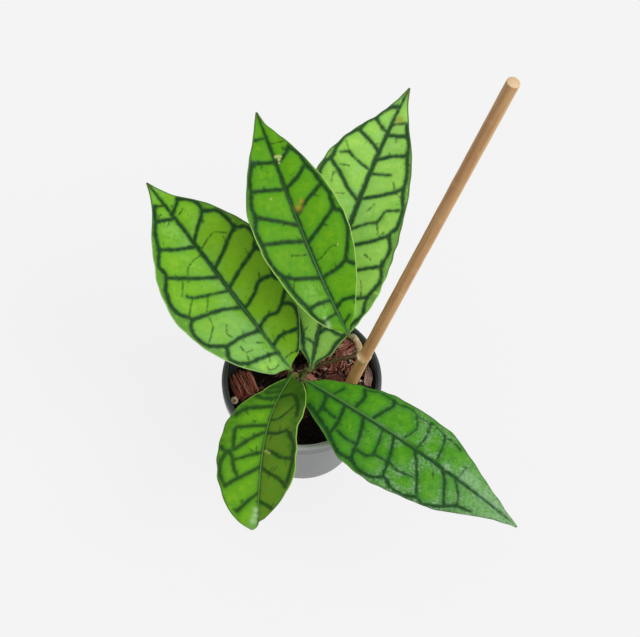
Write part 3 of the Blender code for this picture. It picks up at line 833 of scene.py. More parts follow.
def stray_twigs(draw, path):
    """Short faint twigs on both sides of a vein, some of them forked."""
    def stride(way, reach):
        return reach * np.array((math.cos(way), math.sin(way)))

    for _ in range(draw.integers(*STRAY_TWIGS)):
        at = draw.integers(2, len(path) - 1)
        start = path[at]
        along = path[at] - path[at - 1]
        sideways = draw.choice((-1, 1)) * draw.uniform(50, 100)
        way = math.atan2(along[1], along[0]) + math.radians(sideways)
        length = draw.uniform(*STRAY_LENGTH)
        middle = start + stride(way, 0.5 * length)
        way += math.radians(draw.uniform(-35, 35))
        yield np.array([start, middle, middle + stride(way, 0.5 * length)])
        if draw.uniform() < FORKED_SHARE:
            way += math.radians(draw.choice((-1, 1)) * draw.uniform(40, 75))
            yield np.array([middle, middle + stride(way, FORK_LENGTH * length)])


def mark_field(leaf, marks, x, reach):
    """1 in the middle of each mark on the blade, and 0 away from them."""
    field = np.zeros(reach.shape)
    for at, across, radius in marks:
        side = "left" if across < 0 else "right"
        centre = across * half_width(leaf[side], np.array([at]))[0]
        away = ((x - at * leaf["length"])[:, None] ** 2 + (reach - centre) ** 2) / radius ** 2
        field = np.maximum(field, np.exp(-away))
    return field


def blade_fields(name, leaf, share, reach, widths, seed):
    """What the veins, marks and margins look like on the blade's grid."""
    x = share * leaf["length"]
    midrib_half = np.interp(share, MIDRIB_SHARES, MIDRIB_HALF_WIDTHS) * leaf["midrib_size"]
    foot_size = leaf["midrib_foot"]
    midrib_half *= np.interp(share, MIDRIB_FOOT_SHARES, (foot_size, foot_size, 1))
    edge = np.abs(reach) - midrib_half[:, None]
    twig = np.full(reach.shape, FAR)
    outer = np.zeros(reach.shape)
    draw = np.random.default_rng(seed + 7)
    nets = {side: net for (owner, side), net in NETS.items() if owner == name}
    for side, net in nets.items():
        for kind, path in vein_paths(leaf, net, side):
            if kind in ("thick", "side"):
                for stray in stray_twigs(draw, path):
                    faint = draw.uniform(0.1, 0.5)
                    twig = np.minimum(twig, faint + distance_to(stray, x, reach, FAR))
            distance = distance_to(path, x, reach, FAR)
            if kind == "twigs":
                twig = np.minimum(twig, distance)
                continue
            edge = joined_distance(edge, distance - VEIN_HALF_WIDTHS[kind] * leaf["vein_size"])
        if len(net.get("loop", ())) == 1:
            loop = np.array(sorted(net["loop"][0])) / 100
            limit = np.interp(share, loop[:, 0], loop[:, 1])[:, None] * widths[side][:, None]
            outer = np.maximum(outer, smooth_step(SIGNS[side] * reach - limit, 0.0, 1.2))
    marks = {kind: mark_field(leaf, MARKS[name].get(kind, []), x, reach) for kind in MARK_KINDS}
    return {
        "edge": np.minimum(edge, FAR),
        "twig": twig,
        "outer": outer,
        "rib": reach,
        "rim": width_beside(reach, widths) - np.abs(reach),
        **marks,
    }


def blade_relief(leaf, fields, share, reach, across, seed):
    """How far the blade stands off its plain form: cells raised between veins, and a waved rim."""
    flat = np.stack([share[:, None] * leaf["length"] + 0 * reach, reach], -1)
    fade = np.sqrt(np.sin(math.pi * share))[:, None] * (1 - across ** 8)
    puff = 1 - np.exp(-(np.maximum(fields["edge"], 0) / PUFF_REACH) ** 2)
    valley = 1 - smooth_step(fields["edge"], -0.3, 0.6)
    relief = fade * (PUFF_HEIGHT * puff - VEIN_DEPTH * valley)
    relief -= fade * TWIG_DEPTH * (1 - smooth_step(fields["twig"], 0, 0.9))
    grown = smooth_step(share, 0, 0.15)[:, None]
    relief += grown * SWAY_HEIGHT * ripple(flat, SWAY_SIZE, seed) * across
    return relief + grown * leaf["ruffle"] * ripple(flat, RUFFLE_SIZE, seed + 1) * across ** 3


def blade_faces(name, leaf, seed):
    """The blade's upper and lower points in rows from left to right, and their fields."""
    rows = round(leaf["length"] / GRID)
    columns = round(max(leaf["left"] + leaf["right"]) / GRID)
    share = np.linspace(0, 1, rows + 1)
    widths = {side: blade_width(name, leaf, side, share, seed) for side in SIGNS}
    left, right = (half_reaches(widths[side], columns) for side in SIGNS)
    reach = np.hstack([-left[:, ::-1], np.zeros((rows + 1, 1)), right])
    fields = blade_fields(name, leaf, share, reach, widths, seed)
    width = width_beside(reach, widths)
    across = np.abs(reach) / width
    if name == NOTCHED[0]:
        closing = np.clip((share - ROUND_FROM) / (1 - ROUND_FROM), 0, ROUND_CLOSED)[:, None]
        reach = ROUND_ABOUT + (reach - ROUND_ABOUT) * np.sqrt(1 - closing ** 2)

    _, to_right, up = blade_frame(leaf, share)
    fold = np.radians(along_blade(leaf["fold"], share))[:, None]
    centre = midrib_points(leaf, rows)[:, None]
    rise = (np.sqrt(reach ** 2 + FOLD_ROUNDING) - math.sqrt(FOLD_ROUNDING)) * np.sin(fold)
    rise = rise + blade_relief(leaf, fields, share, reach, across, seed)
    one_side = np.concatenate([np.ones(columns), np.sqrt(1 - (1 - ROUNDED_AT) ** 2)])
    round_off = np.concatenate([one_side[::-1], [1], one_side])
    thickness = BLADE_THICKNESS + (MARGIN_THICKNESS - BLADE_THICKNESS) * across ** 2
    half = thickness / 2 * round_off
    flank = np.minimum(RIB_HALF_WIDTH, 0.3 * width)
    near_rib = 1 - smooth_step(np.abs(reach), 0, flank)
    above = rise + half - GROOVE_DEPTH * near_rib
    below = rise - half - RIB_DEPTH * (1 - 0.85 * share[:, None]) * near_rib
    sideways = to_right[:, None] * (reach * np.cos(fold))[..., None]
    upper = centre + sideways + up[:, None] * above[..., None]
    lower = centre + sideways + up[:, None] * below[..., None]

    angle = np.linspace(-math.pi / 2, math.pi / 2, reach.shape[1])
    blend = np.clip(share / leaf["foot_share"], 0, 1)[:, None, None]
    ring_side = to_right[:, None] * (LEAF_STALK_RADIUS * np.sin(angle))[None, :, None]
    ring_rise = up[:, None] * (LEAF_STALK_RADIUS * np.cos(angle))[None, :, None]
    upper = upper * blend + (centre + ring_side + ring_rise) * (1 - blend)
    lower = lower * blend + (centre + ring_side - ring_rise) * (1 - blend)
    fields["rim"] = fields["rim"] + 3 * (1 - smooth_step(share, 0, leaf["foot_share"]))[:, None]
    fields["along"] = share[:, None] + 0 * reach
    return upper, lower, fields, (to_right[0], angle)


def stalk_faces(leaf, to_right, angle):
    """The leaf stalk's upper and lower points, from inside the vine's skin to the blade's foot."""
    foot = np.array(leaf["foot"], float)
    out = unit(leaf["stalk_direction"])
    on_branch_end = leaf["stalk_from"] == BRANCH_PATH[-1]
    gap = CLEAR if on_branch_end else CLEAR + VINE_NODE_RADIUS
    start = np.array(leaf["stalk_from"], float) + out * gap
    ahead, _, _ = blade_frame(leaf, np.array([0.0]))
    reach = np.linalg.norm(foot - start)
    first, second = STALK_HANDLES
    handles = np.array([start, start + out * reach * first, foot - ahead[0] * reach * second, foot])
    rows = round(reach / STALK_GRID)
    s = (np.arange(rows) / rows)[:, None]
    centre = sum(math.comb(3, n) * s ** n * (1 - s) ** (3 - n) * handles[n] for n in range(4))
    steps = np.diff(handles, axis=0)
    tangent = sum(math.comb(2, n) * s ** n * (1 - s) ** (2 - n) * steps[n] for n in range(3))
    centre = np.vstack([centre[:1] - out * STALK_SUNK, centre])
    tangent = unit(np.vstack([tangent[:1], tangent]))
    side = unit(to_right - tangent * (tangent @ to_right)[:, None])
    rise = np.cross(side, tangent)
    swelling = 1 + STALK_SWELLING * np.exp(-(np.arange(len(centre)) / STALK_SWELLING_ROWS) ** 2)
    radius = LEAF_STALK_RADIUS * swelling[:, None, None]
    sideways = radius * side[:, None] * np.sin(angle)[None, :, None]
    upward = radius * rise[:, None] * np.cos(angle)[None, :, None]
    back = np.linspace(STALK_BACK, 0, len(centre), endpoint=False)
    return centre[:, None] + sideways + upward, centre[:, None] + sideways - upward, back


def round_leaf(upper, lower):
    """Values of both faces, set round the leaf: over its top and back below."""
    return np.hstack([upper, lower[:, -2:0:-1]])


def make_leaf(name, leaf, seed):
    upper, lower, fields, (to_right, angle) = blade_faces(name, leaf, seed)
    stalk_upper, stalk_lower, back = stalk_faces(leaf, to_right, angle)
    upper = np.vstack([stalk_upper, upper])
    lower = np.vstack([stalk_lower, lower])
    plain = {"edge": 1.5, "twig": FAR, "rim": FAR, "rib": FAR, "along": back[:, None]}
    values = {}
    for key, field in fields.items():
        on_stalk = np.zeros((len(back), upper.shape[1])) + plain.get(key, 0.0)
        whole = np.vstack([on_stalk, field])
        values[key] = round_leaf(whole, whole)
    values["under"] = round_leaf(np.zeros(upper.shape[:2]), np.ones(upper.shape[:2]))
    part = skin(round_leaf(upper, lower), values)
    piece = make_piece(name + "_blade", [part], leaf_material(name), name)
    lay_out_leaf(piece.data, upper)


def lay_out_leaf(mesh, upper):
    """A flat map of the leaf for baking: its upper face, and its lower face beside it."""
    row_size = upper.shape[1]
    middle = row_size // 2
    along = distance_along(upper[:, middle])
    gaps = np.linalg.norm(np.diff(upper, axis=1), axis=2)
    across = np.hstack([np.zeros((len(upper), 1)), np.cumsum(gaps, axis=1)])
    across -= across[:, middle:middle + 1]
    high = across.max() + 0.5
    low = across.min() - 0.5
    span = max(2 * (high - low), along[-1] + 2)
    over = np.stack([np.repeat(along[:, None] + 1, row_size, 1), across - low], -1) / span
    beneath = over + np.array([0, (high - low) / span])
    both = [round_leaf(face, face).reshape(-1, 2) for face in (over, beneath)]
    both = [np.vstack([face, face[:1], face[-1:]]) for face in both]
    corner = np.zeros(len(mesh.loops), int)
    mesh.loops.foreach_get("vertex_index", corner)
    ring_size = 2 * row_size - 2
    quad_rows = len(upper) - 1
    beneath_face = np.zeros(len(mesh.polygons), bool)
    beneath_face[:quad_rows * ring_size] = np.tile(np.arange(ring_size) >= row_size - 1, quad_rows)
    totals = np.zeros(len(mesh.polygons), int)
    mesh.polygons.foreach_get("loop_total", totals)
    use_beneath = np.repeat(beneath_face, totals)
    places = np.where(use_beneath[:, None], both[1][corner], both[0][corner])
    layer = mesh.uv_layers.new(name="OFBake")
    layer.data.foreach_set("uv", places.astype(np.float32).reshape(-1))


# What most leaves share; LEAF_LOOKS gives the rest and each leaf's own
PLAIN_LOOKS = {
    "halo": 0.4,  # how dull the cells are beside their veins: partly their own colour, partly painted shade in the creases
    "halo_reach": 2.0,  # how far from the veins, in millimetres
    "sheen_middle": 0.0,  # how strongly a sheen is painted on the cells beside the midrib
    "left_half_shade": 0.0,  # how strongly the left half is painted in a dull shade
    "right_half_shadow": 0.0,  # how strongly the right half is painted in shadow, up to near the tip
    "sheen_foot": 0.0,  # how strongly a sheen is painted on the left half towards its foot
    "dark_foot": 0.0,  # how strongly the foot is darkened with painted shade
    "foot_shares": (0.10, 0.02),  # the shares of the length where that starts and is full
    "dim_margin": 0.0,  # how strongly the blade is darkened with painted shade towards its margin
    "vein_blue": 1.0,  # how blue the veins are in spots
    "vein_depth": 1.0,  # how well the veins cover the cells
    "line_half": 0.62,  # half width of the pale line on the midrib, in millimetres
    "sheen": None,  # colour of the sheen that MARKS places
    "pale_spot": (0.55, 0.62, 0.22),  # colour of the pale spots that MARKS places
    "grain_and_sheen": False,  # whether it has a pebbled grain with flecks of painted sheen, and a ridge, not a line, at the midrib
}

# Each leaf's colours: its cells, their duller patches and brighter middles, its veins, margin and
# tip; the shares of its length from which its left and its right margin have a dark outline;
# and the pale line on its midrib: how strong, its colour, and the shares of the length where
# it starts and is full
LEAF_LOOKS = {
    "leaf_left": {
        "cell": (0.155, 0.390, 0.014),
        "dull": (0.100, 0.320, 0.018),
        "lime": (0.215, 0.450, 0.020),
        "vein": (0.010, 0.048, 0.006),
        "margin": (0.33, 0.50, 0.19),
        "tip": (0.09, 0.14, 0.02),
        "outline_from": (0.72, 0.30),
        "line": 0.55,
        "line_colour": (0.075, 0.18, 0.08),
        "line_shares": (0.62, 0.3),
        "sheen_foot": 0.50,
        "sheen_middle": 0.35,
        "sheen": (0.36, 0.66, 0.07),
        "right_half_shadow": 0.62,
    },
    "leaf_top": {
        "cell": (0.090, 0.295, 0.005),
        "dull": (0.060, 0.240, 0.008),
        "lime": (0.135, 0.335, 0.005),
        "vein": (0.009, 0.046, 0.003),
        "margin": (0.36, 0.56, 0.14),
        "tip": (0.08, 0.15, 0.02),
        "outline_from": (0.50, 0.62),
        "line": 0.6,
        "line_colour": (0.095, 0.23, 0.10),
        "line_shares": (0.8, 0.25),
        "sheen": (0.21, 0.47, 0.08),
    },
    "leaf_back": {
        "cell": (0.278, 0.555, 0.084),
        "dull": (0.180, 0.450, 0.055),
        "lime": (0.350, 0.620, 0.100),
        "vein": (0.024, 0.070, 0.018),
        "margin": (0.30, 0.50, 0.14),
        "tip": (0.10, 0.16, 0.03),
        "outline_from": (0.45, 0.30),
        "line": 0.35,
        "line_colour": (0.06, 0.15, 0.07),
        "line_shares": (0.6, 0.35),
        "dark_foot": 0.2,
        "halo": 0.35,
        "sheen_middle": 0.55,
    },
    "leaf_lower_left": {
        "cell": (0.110, 0.310, 0.008),
        "dull": (0.065, 0.215, 0.010),
        "lime": (0.155, 0.370, 0.008),
        "vein": (0.013, 0.050, 0.006),
        "margin": (0.30, 0.48, 0.08),
        "tip": (0.14, 0.28, 0.06),
        "outline_from": (0.72, 0.22),
        "line": 0.85,
        "line_colour": (0.120, 0.250, 0.055),
        "line_shares": (1.0, 0.75),
        "line_half": 0.48,
        "left_half_shade": 0.85,
        "dark_foot": 0.9,
        "foot_shares": (0.36, 0.12),
        "dim_margin": 0.85,
        "halo": 0.6,
        "halo_reach": 2.6,
        "vein_blue": 0.25,
        "vein_depth": 0.92,
        "pale_spot": (0.36, 0.40, 0.08),
    },
    "leaf_lower_right": {
        "cell": (0.065, 0.275, 0.008),
        "dull": (0.042, 0.200, 0.012),
        "lime": (0.110, 0.335, 0.010),
        "vein": (0.010, 0.052, 0.008),
        "margin": (0.13, 0.22, 0.05),
        "tip": (0.19, 0.34, 0.15),
        "outline_from": (0.05, 0.40),
        "dark_foot": 0.3,
        "foot_shares": (0.26, 0.08),
        "halo": 0.8,
        "halo_reach": 2.8,
        "vein_depth": 0.95,
        "sheen": (0.38, 0.55, 0.36),
        "grain_and_sheen": True,
    },
}
VEIN_BLUE = (0.013, 0.056, 0.026)
# painted shade over a half of a leaf
OLIVE_SHADE = (0.115, 0.195, 0.012)
# painted shadow cast over a half of a leaf
SHADOW_GREEN = (0.155, 0.330, 0.001)
# painted shade at a leaf's foot and towards its margin
FOOT_SHADE = (0.42, 0.50, 0.55)
# painted sheen, paler and bluer than the cells
SHEEN_GREEN = (0.245, 0.500, 0.150)
OUTER_BAND = (0.040, 0.135, 0.026)
BROWN_SPOT = (0.34, 0.24, 0.03)
SHINE = (0.44, 0.62, 0.34)
RIDGE_GREEN = (0.085, 0.205, 0.045)
# painted sheen in flecks, whitish green
SHEEN_FLECKS = (0.250, 0.405, 0.222)
OUTLINE = (0.030, 0.075, 0.018)
STALK_BROWN = (0.20, 0.15, 0.06)
STALK_GREEN = (0.05, 0.14, 0.02)
UNDERSIDE = (0.20, 0.42, 0.13)
UNDER_PATCH = (0.26, 0.46, 0.14)
UNDER_VEIN = (0.10, 0.26, 0.10)


class LeafShade(Shade):
    """A leaf's nodes: where a point lies on the blade, and the layers of its colour, with painted shade
    and sheen among them.
    """

    def __init__(self, name, looks):
        super().__init__(name + "_surface", looks["cell"], 0.45, 0.09)
        self.looks = looks
        self.along, self.rib, self.rim = (self.value(key) for key in ("along", "rib", "rim"))
        self.broad = self.noise(15)
        self.patchy = self.noise(3.4, 4.0)
        wobble = self.times(self.plus(self.noise(2.6), -0.5), 1.5)
        feather = self.times(self.plus(self.noise(1.0), -0.5), 0.35)
        self.edge = self.plus(self.value("edge"), wobble, feather)
        self.twig = self.plus(self.value("twig"), wobble, feather)
        self.vein = self.fade(self.edge, 1.12, -0.78)

    def paint_cells(self):
        looks = self.looks
        self.paint(looks["dull"], self.fade(self.broad, 0.45, 0.70), 0.55)
        self.paint(looks["lime"], self.fade(self.edge, 1.0, 4.5), self.fade(self.patchy, 0.36, 0.66))
        # duller beside the veins: partly the leaf's own colour, partly painted shade in the creases
        self.paint(looks["dull"], self.fade(self.edge, looks["halo_reach"], 0.2), looks["halo"])
        # painted sheen on the cells beside the midrib
        if looks["sheen_middle"]:
            beside = self.fade(self.size_of(self.rib), 15, 3)
            patches = self.times(self.fade(self.patchy, 0.34, 0.60), self.fade(self.broad, 0.36, 0.60))
            self.paint(SHEEN_GREEN, beside, patches, looks["sheen_middle"])
        # painted shade over the left half, mottled
        if looks["left_half_shade"]:
            left_half_shade = self.mix(self.fade(self.patchy, 0.4, 0.7), OLIVE_SHADE, looks["dull"])
            self.paint(left_half_shade, self.fade(self.rib, 0.5, -0.9), looks["left_half_shade"])
        # painted shadow cast over the right half, up to near the tip
        if looks["right_half_shadow"]:
            below_tip = self.fade(self.along, 0.78, 0.64)
            self.paint(SHADOW_GREEN, self.fade(self.rib, 0.5, 5.0), below_tip, looks["right_half_shadow"])
        # painted sheen on the left half towards the foot
        if looks["sheen_foot"]:
            foot = self.times(self.fade(self.along, 0.60, 0.15), self.fade(self.broad, 0.30, 0.60))
            self.paint(SHEEN_GREEN, self.fade(self.rib, 3.0, -6.0), foot, looks["sheen_foot"])
        # painted shade over the foot
        if looks["dark_foot"]:
            foot = self.fade(self.along, *looks["foot_shares"])
            self.paint(FOOT_SHADE, foot, looks["dark_foot"], blend="MULTIPLY")
        # painted shade towards the margin
        if looks["dim_margin"]:
            dim = self.times(self.fade(self.rim, 11.0, 1.0), self.fade(self.along, 0.85, 0.45))
            uneven = self.plus(self.fade(self.patchy, 0.35, 0.65), 0.35)
            self.paint(FOOT_SHADE, dim, uneven, looks["dim_margin"], blend="MULTIPLY")
        self.paint(looks["dull"], self.fade(self.noise(0.9, 4.0), 0.36, 0.66), 0.22)
        specks = self.times(self.fade(self.spots(2.4), 0.24, 0.10), self.fade(self.noise(5.0), 0.53, 0.66))
        self.paint(looks["vein"], specks, 0.5)
        self.paint(OUTER_BAND, self.value("outer"), self.fade(self.patchy, 0.66, 0.46), 0.45)
        if looks["sheen"]:
            self.paint(looks["sheen"], self.value("sheen"), self.fade(self.patchy, 0.25, 0.55), 0.6)

    def paint_veins(self):
        looks = self.looks
        broken = self.plus(self.times(self.fade(self.noise(1.5, 3.0), 0.34, 0.62), 0.34), 0.40)
        self.paint(looks["vein"], self.fade(self.twig, 1.0, 0.10), broken)
        blue = self.times(self.fade(self.noise(2.2), 0.45, 0.75), looks["vein_blue"])
        self.paint(self.mix(blue, looks["vein"], VEIN_BLUE), self.vein, looks["vein_depth"])

    def paint_margin(self):
        looks = self.looks
        self.paint(looks["margin"], self.fade(self.rim, 0.80, 0.30), 0.85)
        left_from, right_from = looks["outline_from"]
        right_half = self.fade(self.rib, -0.5, 0.5)
        start = self.plus(self.times(right_half, right_from - left_from), left_from)
        shown = self.fade(self.math("SUBTRACT", self.along, start), 0.0, 0.15)
        self.paint(OUTLINE, self.fade(self.rim, 1.30, 0.45), shown, 0.75)

    def paint_midrib(self):
        looks = self.looks
        if looks["grain_and_sheen"]:
            beside = self.size_of(self.plus(self.rib, 0.95))
            self.paint(RIDGE_GREEN, self.fade(beside, 0.85, 0.30), self.fade(self.along, 0.60, 0.40), 0.8)
            return
        line = self.fade(self.size_of(self.rib), looks["line_half"], 0.10)
        self.paint(looks["line_colour"], line, self.fade(self.along, *looks["line_shares"]), looks["line"])

    def paint_sheen_flecks(self):
        # painted sheen in flecks over a pebbled grain, towards the tip; then duller mottling in the cells
        pebbled = self.fade(self.noise(1.4, 4.0), 0.34, 0.66)
        patches = self.times(self.fade(self.noise(9.0, 3.0), 0.38, 0.62), pebbled)
        beside_veins = self.plus(self.fade(self.edge, 4.0, 0.6), 0.40)
        off_veins = self.fade(self.edge, -0.8, 0.7)
        sheen_mask = self.times(patches, beside_veins, off_veins, self.fade(self.along, 0.22, 0.62))
        whole_tip = self.times(self.fade(self.along, 0.58, 1.0), self.fade(self.edge, -1.0, 0.8))
        sheen_mask = self.math("MAXIMUM", sheen_mask, self.times(whole_tip, self.plus(pebbled, 0.55)))
        self.paint(SHEEN_FLECKS, sheen_mask, 0.60)
        in_cells = self.fade(self.edge, 0.1, 1.2)
        self.paint(self.looks["dull"], self.fade(self.noise(1.3, 4.0), 0.48, 0.66), 0.48, in_cells)

    def paint_marks(self):
        self.paint(self.looks["pale_spot"], self.value("pale"))
        self.paint(SHINE, self.value("shine"), 0.55)
        self.paint(BROWN_SPOT, self.value("brown"), 0.8)
        self.paint(self.looks["tip"], self.fade(self.along, 0.955, 0.995))

    def paint_stalk_and_underside(self):
        stalk = self.mix(self.fade(self.noise(2.5), 0.4, 0.6), STALK_BROWN, STALK_GREEN)
        self.paint(stalk, self.fade(self.along, 0.03, -0.02))
        below = self.mix(self.fade(self.patchy, 0.45, 0.70), UNDERSIDE, UNDER_PATCH)
        below = self.mix(self.times(self.vein, 0.75), below, UNDER_VEIN)
        self.paint(below, self.value("under"), self.fade(self.along, 0.0, 0.05), 0.85)

    def roughen(self):
        """Fine relief, and the roughness that goes with it."""
        grain = self.noise(0.6, 3.0)
        if self.looks["grain_and_sheen"]:
            grain_and_sheen = self.fade(self.noise(1.1, 4.0), 0.35, 0.75)
            self.bump(self.plus(grain, grain_and_sheen), 0.20, 0.5)
            return self.plus(self.times(grain_and_sheen, 0.22), 0.30)
        self.bump(grain, 0.12, 0.45)
        return self.plus(self.times(self.patchy, 0.16), 0.36)


def leaf_material(name):
    shade = LeafShade(name, {**PLAIN_LOOKS, **LEAF_LOOKS[name]})
    shade.paint_cells()
    shade.paint_veins()
    shade.paint_margin()
    shade.paint_midrib()
    if shade.looks["grain_and_sheen"]:
        shade.paint_sheen_flecks()
    shade.paint_marks()
    shade.paint_stalk_and_underside()
    return shade.finish(shade.roughen())


def make_leaves():
    for index, (name, leaf) in enumerate(LEAVES.items()):
        make_leaf(name, leaf, 10 * index + 3)


def wall_radius(height):
    """Outer radius of the pot's tapered wall, below its lip."""
    top = RIM_RADIUS - LIP_OVERHANG
    return FOOT_RADIUS + (top - FOOT_RADIUS) * height / LIP_BOTTOM


MOUTH_RADIUS = wall_radius(LIP_BOTTOM) - WALL - MOUTH_STEP
CROWN_RADIUS = (RIM_RADIUS + MOUTH_RADIUS) / 2
PLASTIC = (0.048, 0.051, 0.052)
PLASTIC_FILM = (0.074, 0.077, 0.076)
# Painted light on the pot: a reflection over its front, shade on its rim's sides and inside, and a
# highlight on its crown's front
PLASTIC_FRONT_SHEEN = (0.124, 0.129, 0.128)
PLASTIC_RIM_SHADE = (0.012, 0.014, 0.015)
PLASTIC_CROWN_HIGHLIGHT = (0.400, 0.405, 0.400)
PLASTIC_INSIDE_SHADE = (0.006, 0.006, 0.006)


def plastic_material():
    shade = Shade("black_plastic_surface", PLASTIC, 0.34, 0.8)
    shade.paint(PLASTIC_FILM, shade.fade(shade.noise(5, 6.0), 0.30, 0.80))
    # painted reflection over the front of the pot, lighter than the plastic
    shade.paint(PLASTIC_FRONT_SHEEN, shade.value("front_sheen"), 0.7)
    # painted shade on the sides of the rim, darkest at its inner edge and on the left
    shade.paint(PLASTIC_RIM_SHADE, shade.value("rim_side_shade"))
    # painted highlight on the front of the rim's crown
    shade.paint(PLASTIC_CROWN_HIGHLIGHT, shade.value("wear_and_highlight"))
    # painted shade inside the pot, below its rim
    shade.paint(PLASTIC_INSIDE_SHADE, shade.value("inside"))
    shade.bump(shade.noise(1.1, 4.0), 0.06, 0.5)
    return shade.finish(shade.plus(shade.times(shade.noise(1.4, 3.0), 0.14), 0.26))


def arc(centre, radius, start, end, steps=6):
    """Points (radius, height) on an arc of a profile, with angles in degrees."""
    angles = np.radians(np.linspace(start, end, steps))
    return [(centre[0] + radius * math.cos(a), centre[1] + radius * math.sin(a)) for a in angles]


def pot_profile():
    """From the middle of the floor up the inside, over the rim, down the outside and under."""
    inner_floor = wall_radius(FLOOR) - WALL
    rim_bottom = POT_HEIGHT - ROUNDING - CROWN_DROP
    profile = [(FLOOR_MIDDLE_RADIUS, FLOOR), (inner_floor - 8, FLOOR)]
    profile += arc((inner_floor - ROUNDING, FLOOR + ROUNDING), ROUNDING, -90, -15)
    profile += [(wall_radius(h) - WALL, h) for h in np.linspace(8, LIP_BOTTOM, 9)]
    profile += arc((MOUTH_RADIUS + ROUNDING, rim_bottom), ROUNDING, 180, 105)
    profile += [
        (CROWN_RADIUS - CROWN_HALF_WIDTH, POT_HEIGHT - CROWN_FALL),
        (CROWN_RADIUS, POT_HEIGHT),
        (CROWN_RADIUS + CROWN_HALF_WIDTH, POT_HEIGHT - CROWN_FALL),
    ]
    profile += arc((RIM_RADIUS - ROUNDING, rim_bottom), ROUNDING, 75, 0)
    edge, corner = LIP_EDGE_ROUNDING, LIP_CORNER_ROUNDING
    profile += arc((RIM_RADIUS - edge, LIP_BOTTOM + edge), edge, 0, -90, 5)
    profile += arc((wall_radius(LIP_BOTTOM) + corner, LIP_BOTTOM - corner), corner, 90, 185, 4)
    profile += [(wall_radius(h), h) for h in np.linspace(LIP_BOTTOM - 3, 3, 9)]
    profile += arc((FOOT_RADIUS - ROUNDING, ROUNDING), ROUNDING, 10, -90)
    return profile + [(FOOT_RADIUS - 4, 0), (FLOOR_MIDDLE_RADIUS, 0)]


def pot_marks(rings):
    """Painted shade inside and on the rim's sides, a painted front reflection and crown highlight: 0 to 1
    at each point.
    """
    x, y, height = (rings[..., k] for k in range(3))
    outward = np.hypot(x, y)
    inner = outward < np.interp(height, (0, LIP_BOTTOM), (FOOT_RADIUS, MOUTH_RADIUS)) - 0.5
    front = smooth_step(-y, 18, 35)
    shadow_top = POT_HEIGHT - 0.9 * front
    from_inside = smooth_step(outward, RIM_RADIUS + 0.2, CROWN_RADIUS - 0.3)
    from_inside = from_inside * smooth_step(height, LIP_BOTTOM, POT_HEIGHT - 3)
    left_of_lip = smooth_step(-x, 8, 30) * (height > LIP_BOTTOM)
    return {
        # painted shade inside the pot, below its rim
        "inside": inner * smooth_step(height, shadow_top - 0.3, shadow_top - 1.6),
        # painted reflection over the front
        "front_sheen": front * (1 - inner),
        # painted highlight on the front of the crown
        "wear_and_highlight": smooth_step(-y, 27, 40) * smooth_step(height, POT_HEIGHT - 1.6, POT_HEIGHT - 0.6),
        # painted shade on the rim's sides and inner edge, away from the front
        "rim_side_shade": np.maximum(from_inside, 0.60 * left_of_lip) * (1 - front),
    }


def make_pot():
    rings = turned(pot_profile(), POT_SEGMENTS)
    part = skin(rings, pot_marks(rings))
    pot = make_piece("nursery_pot", [part], plastic_material(), "pot")
    hole = turned([(DRAIN_HOLE_RADIUS, -FLOOR), (DRAIN_HOLE_RADIUS, 3 * FLOOR)], 32)
    holes = []
    for angle in np.arange(DRAIN_HOLES) * math.tau / DRAIN_HOLES:
        holes.append(skin(hole + np.array((math.cos(angle), math.sin(angle), 0)) * DRAIN_RING_RADIUS))
    cut_holes(pot, holes)
    pot.data.set_sharp_from_angle(angle=math.radians(SHARP_ANGLE))


def cut_holes(piece, parts):
    """Cuts closed parts out of a piece."""
    cutter = add_object("holes", joined_mesh("holes", parts))
    boolean = piece.modifiers.new("Holes", "BOOLEAN")
    boolean.operation = "DIFFERENCE"
    boolean.object = cutter
    boolean.solver = "EXACT"
    graph = bpy.context.evaluated_depsgraph_get()
    cut = bpy.data.meshes.new_from_object(piece.evaluated_get(graph))
    piece.modifiers.clear()
    piece.data = cut
    bpy.data.objects.remove(cutter, do_unlink=True)


CANE = (0.53, 0.300, 0.115)
CANE_STREAK = (0.42, 0.200, 0.065)
CANE_FINE_STREAK = (0.30, 0.145, 0.05)
CANE_BLOTCH = (0.60, 0.36, 0.15)
CANE_SHADE = (0.72, 0.66, 0.58)
CANE_LIT = (0.76, 0.56, 0.30)
CANE_LOW = (0.38, 0.235, 0.060)
CANE_NODE = (0.44, 0.30, 0.17)
CANE_BUD = (0.46, 0.33, 0.14)
CANE_SCAR = (0.70, 0.60, 0.42)
PITH = (0.66, 0.47, 0.26)
PITH_SPOT = (0.50, 0.32, 0.15)


def bamboo_material():
    shade = Shade("bamboo_surface", CANE, 0.5)
    stretched = shade.times(shade.value("along"), 0.035)
    streak = shade.grain(1.5, 4.0, stretched)
    fine = shade.grain(0.45, 3.0, stretched)
    shade.paint(CANE_STREAK, shade.fade(streak, 0.35, 0.65))
    shade.paint(CANE_FINE_STREAK, shade.fade(fine, 0.52, 0.75), 0.30)
    shade.paint(CANE_BLOTCH, shade.fade(shade.noise(7, 3.0), 0.55, 0.72), 0.45)
    # painted shade on the cane's left side
    shade.paint(CANE_SHADE, shade.value("shaded_side"), 0.8, blend="MULTIPLY")
    # painted light on the cane's right side
    shade.paint(CANE_LIT, shade.value("lit_side"), 0.7)
    shade.paint(CANE_LOW, shade.fade(shade.value("along"), 105, 70), 0.5)
    shade.paint(CANE_NODE, shade.value("node"), 0.6)
    shade.paint(CANE_BUD, shade.value("bud"), 0.6)
    shade.paint(CANE_SCAR, shade.value("scar"))
    shade.paint(shade.mix(shade.fade(shade.spots(0.5), 0.30, 0.10), PITH, PITH_SPOT), shade.value("cut"))
    shade.bump(shade.plus(streak, fine), 0.10, 0.5)
    return shade.finish(shade.plus(shade.times(fine, 0.2), 0.42))


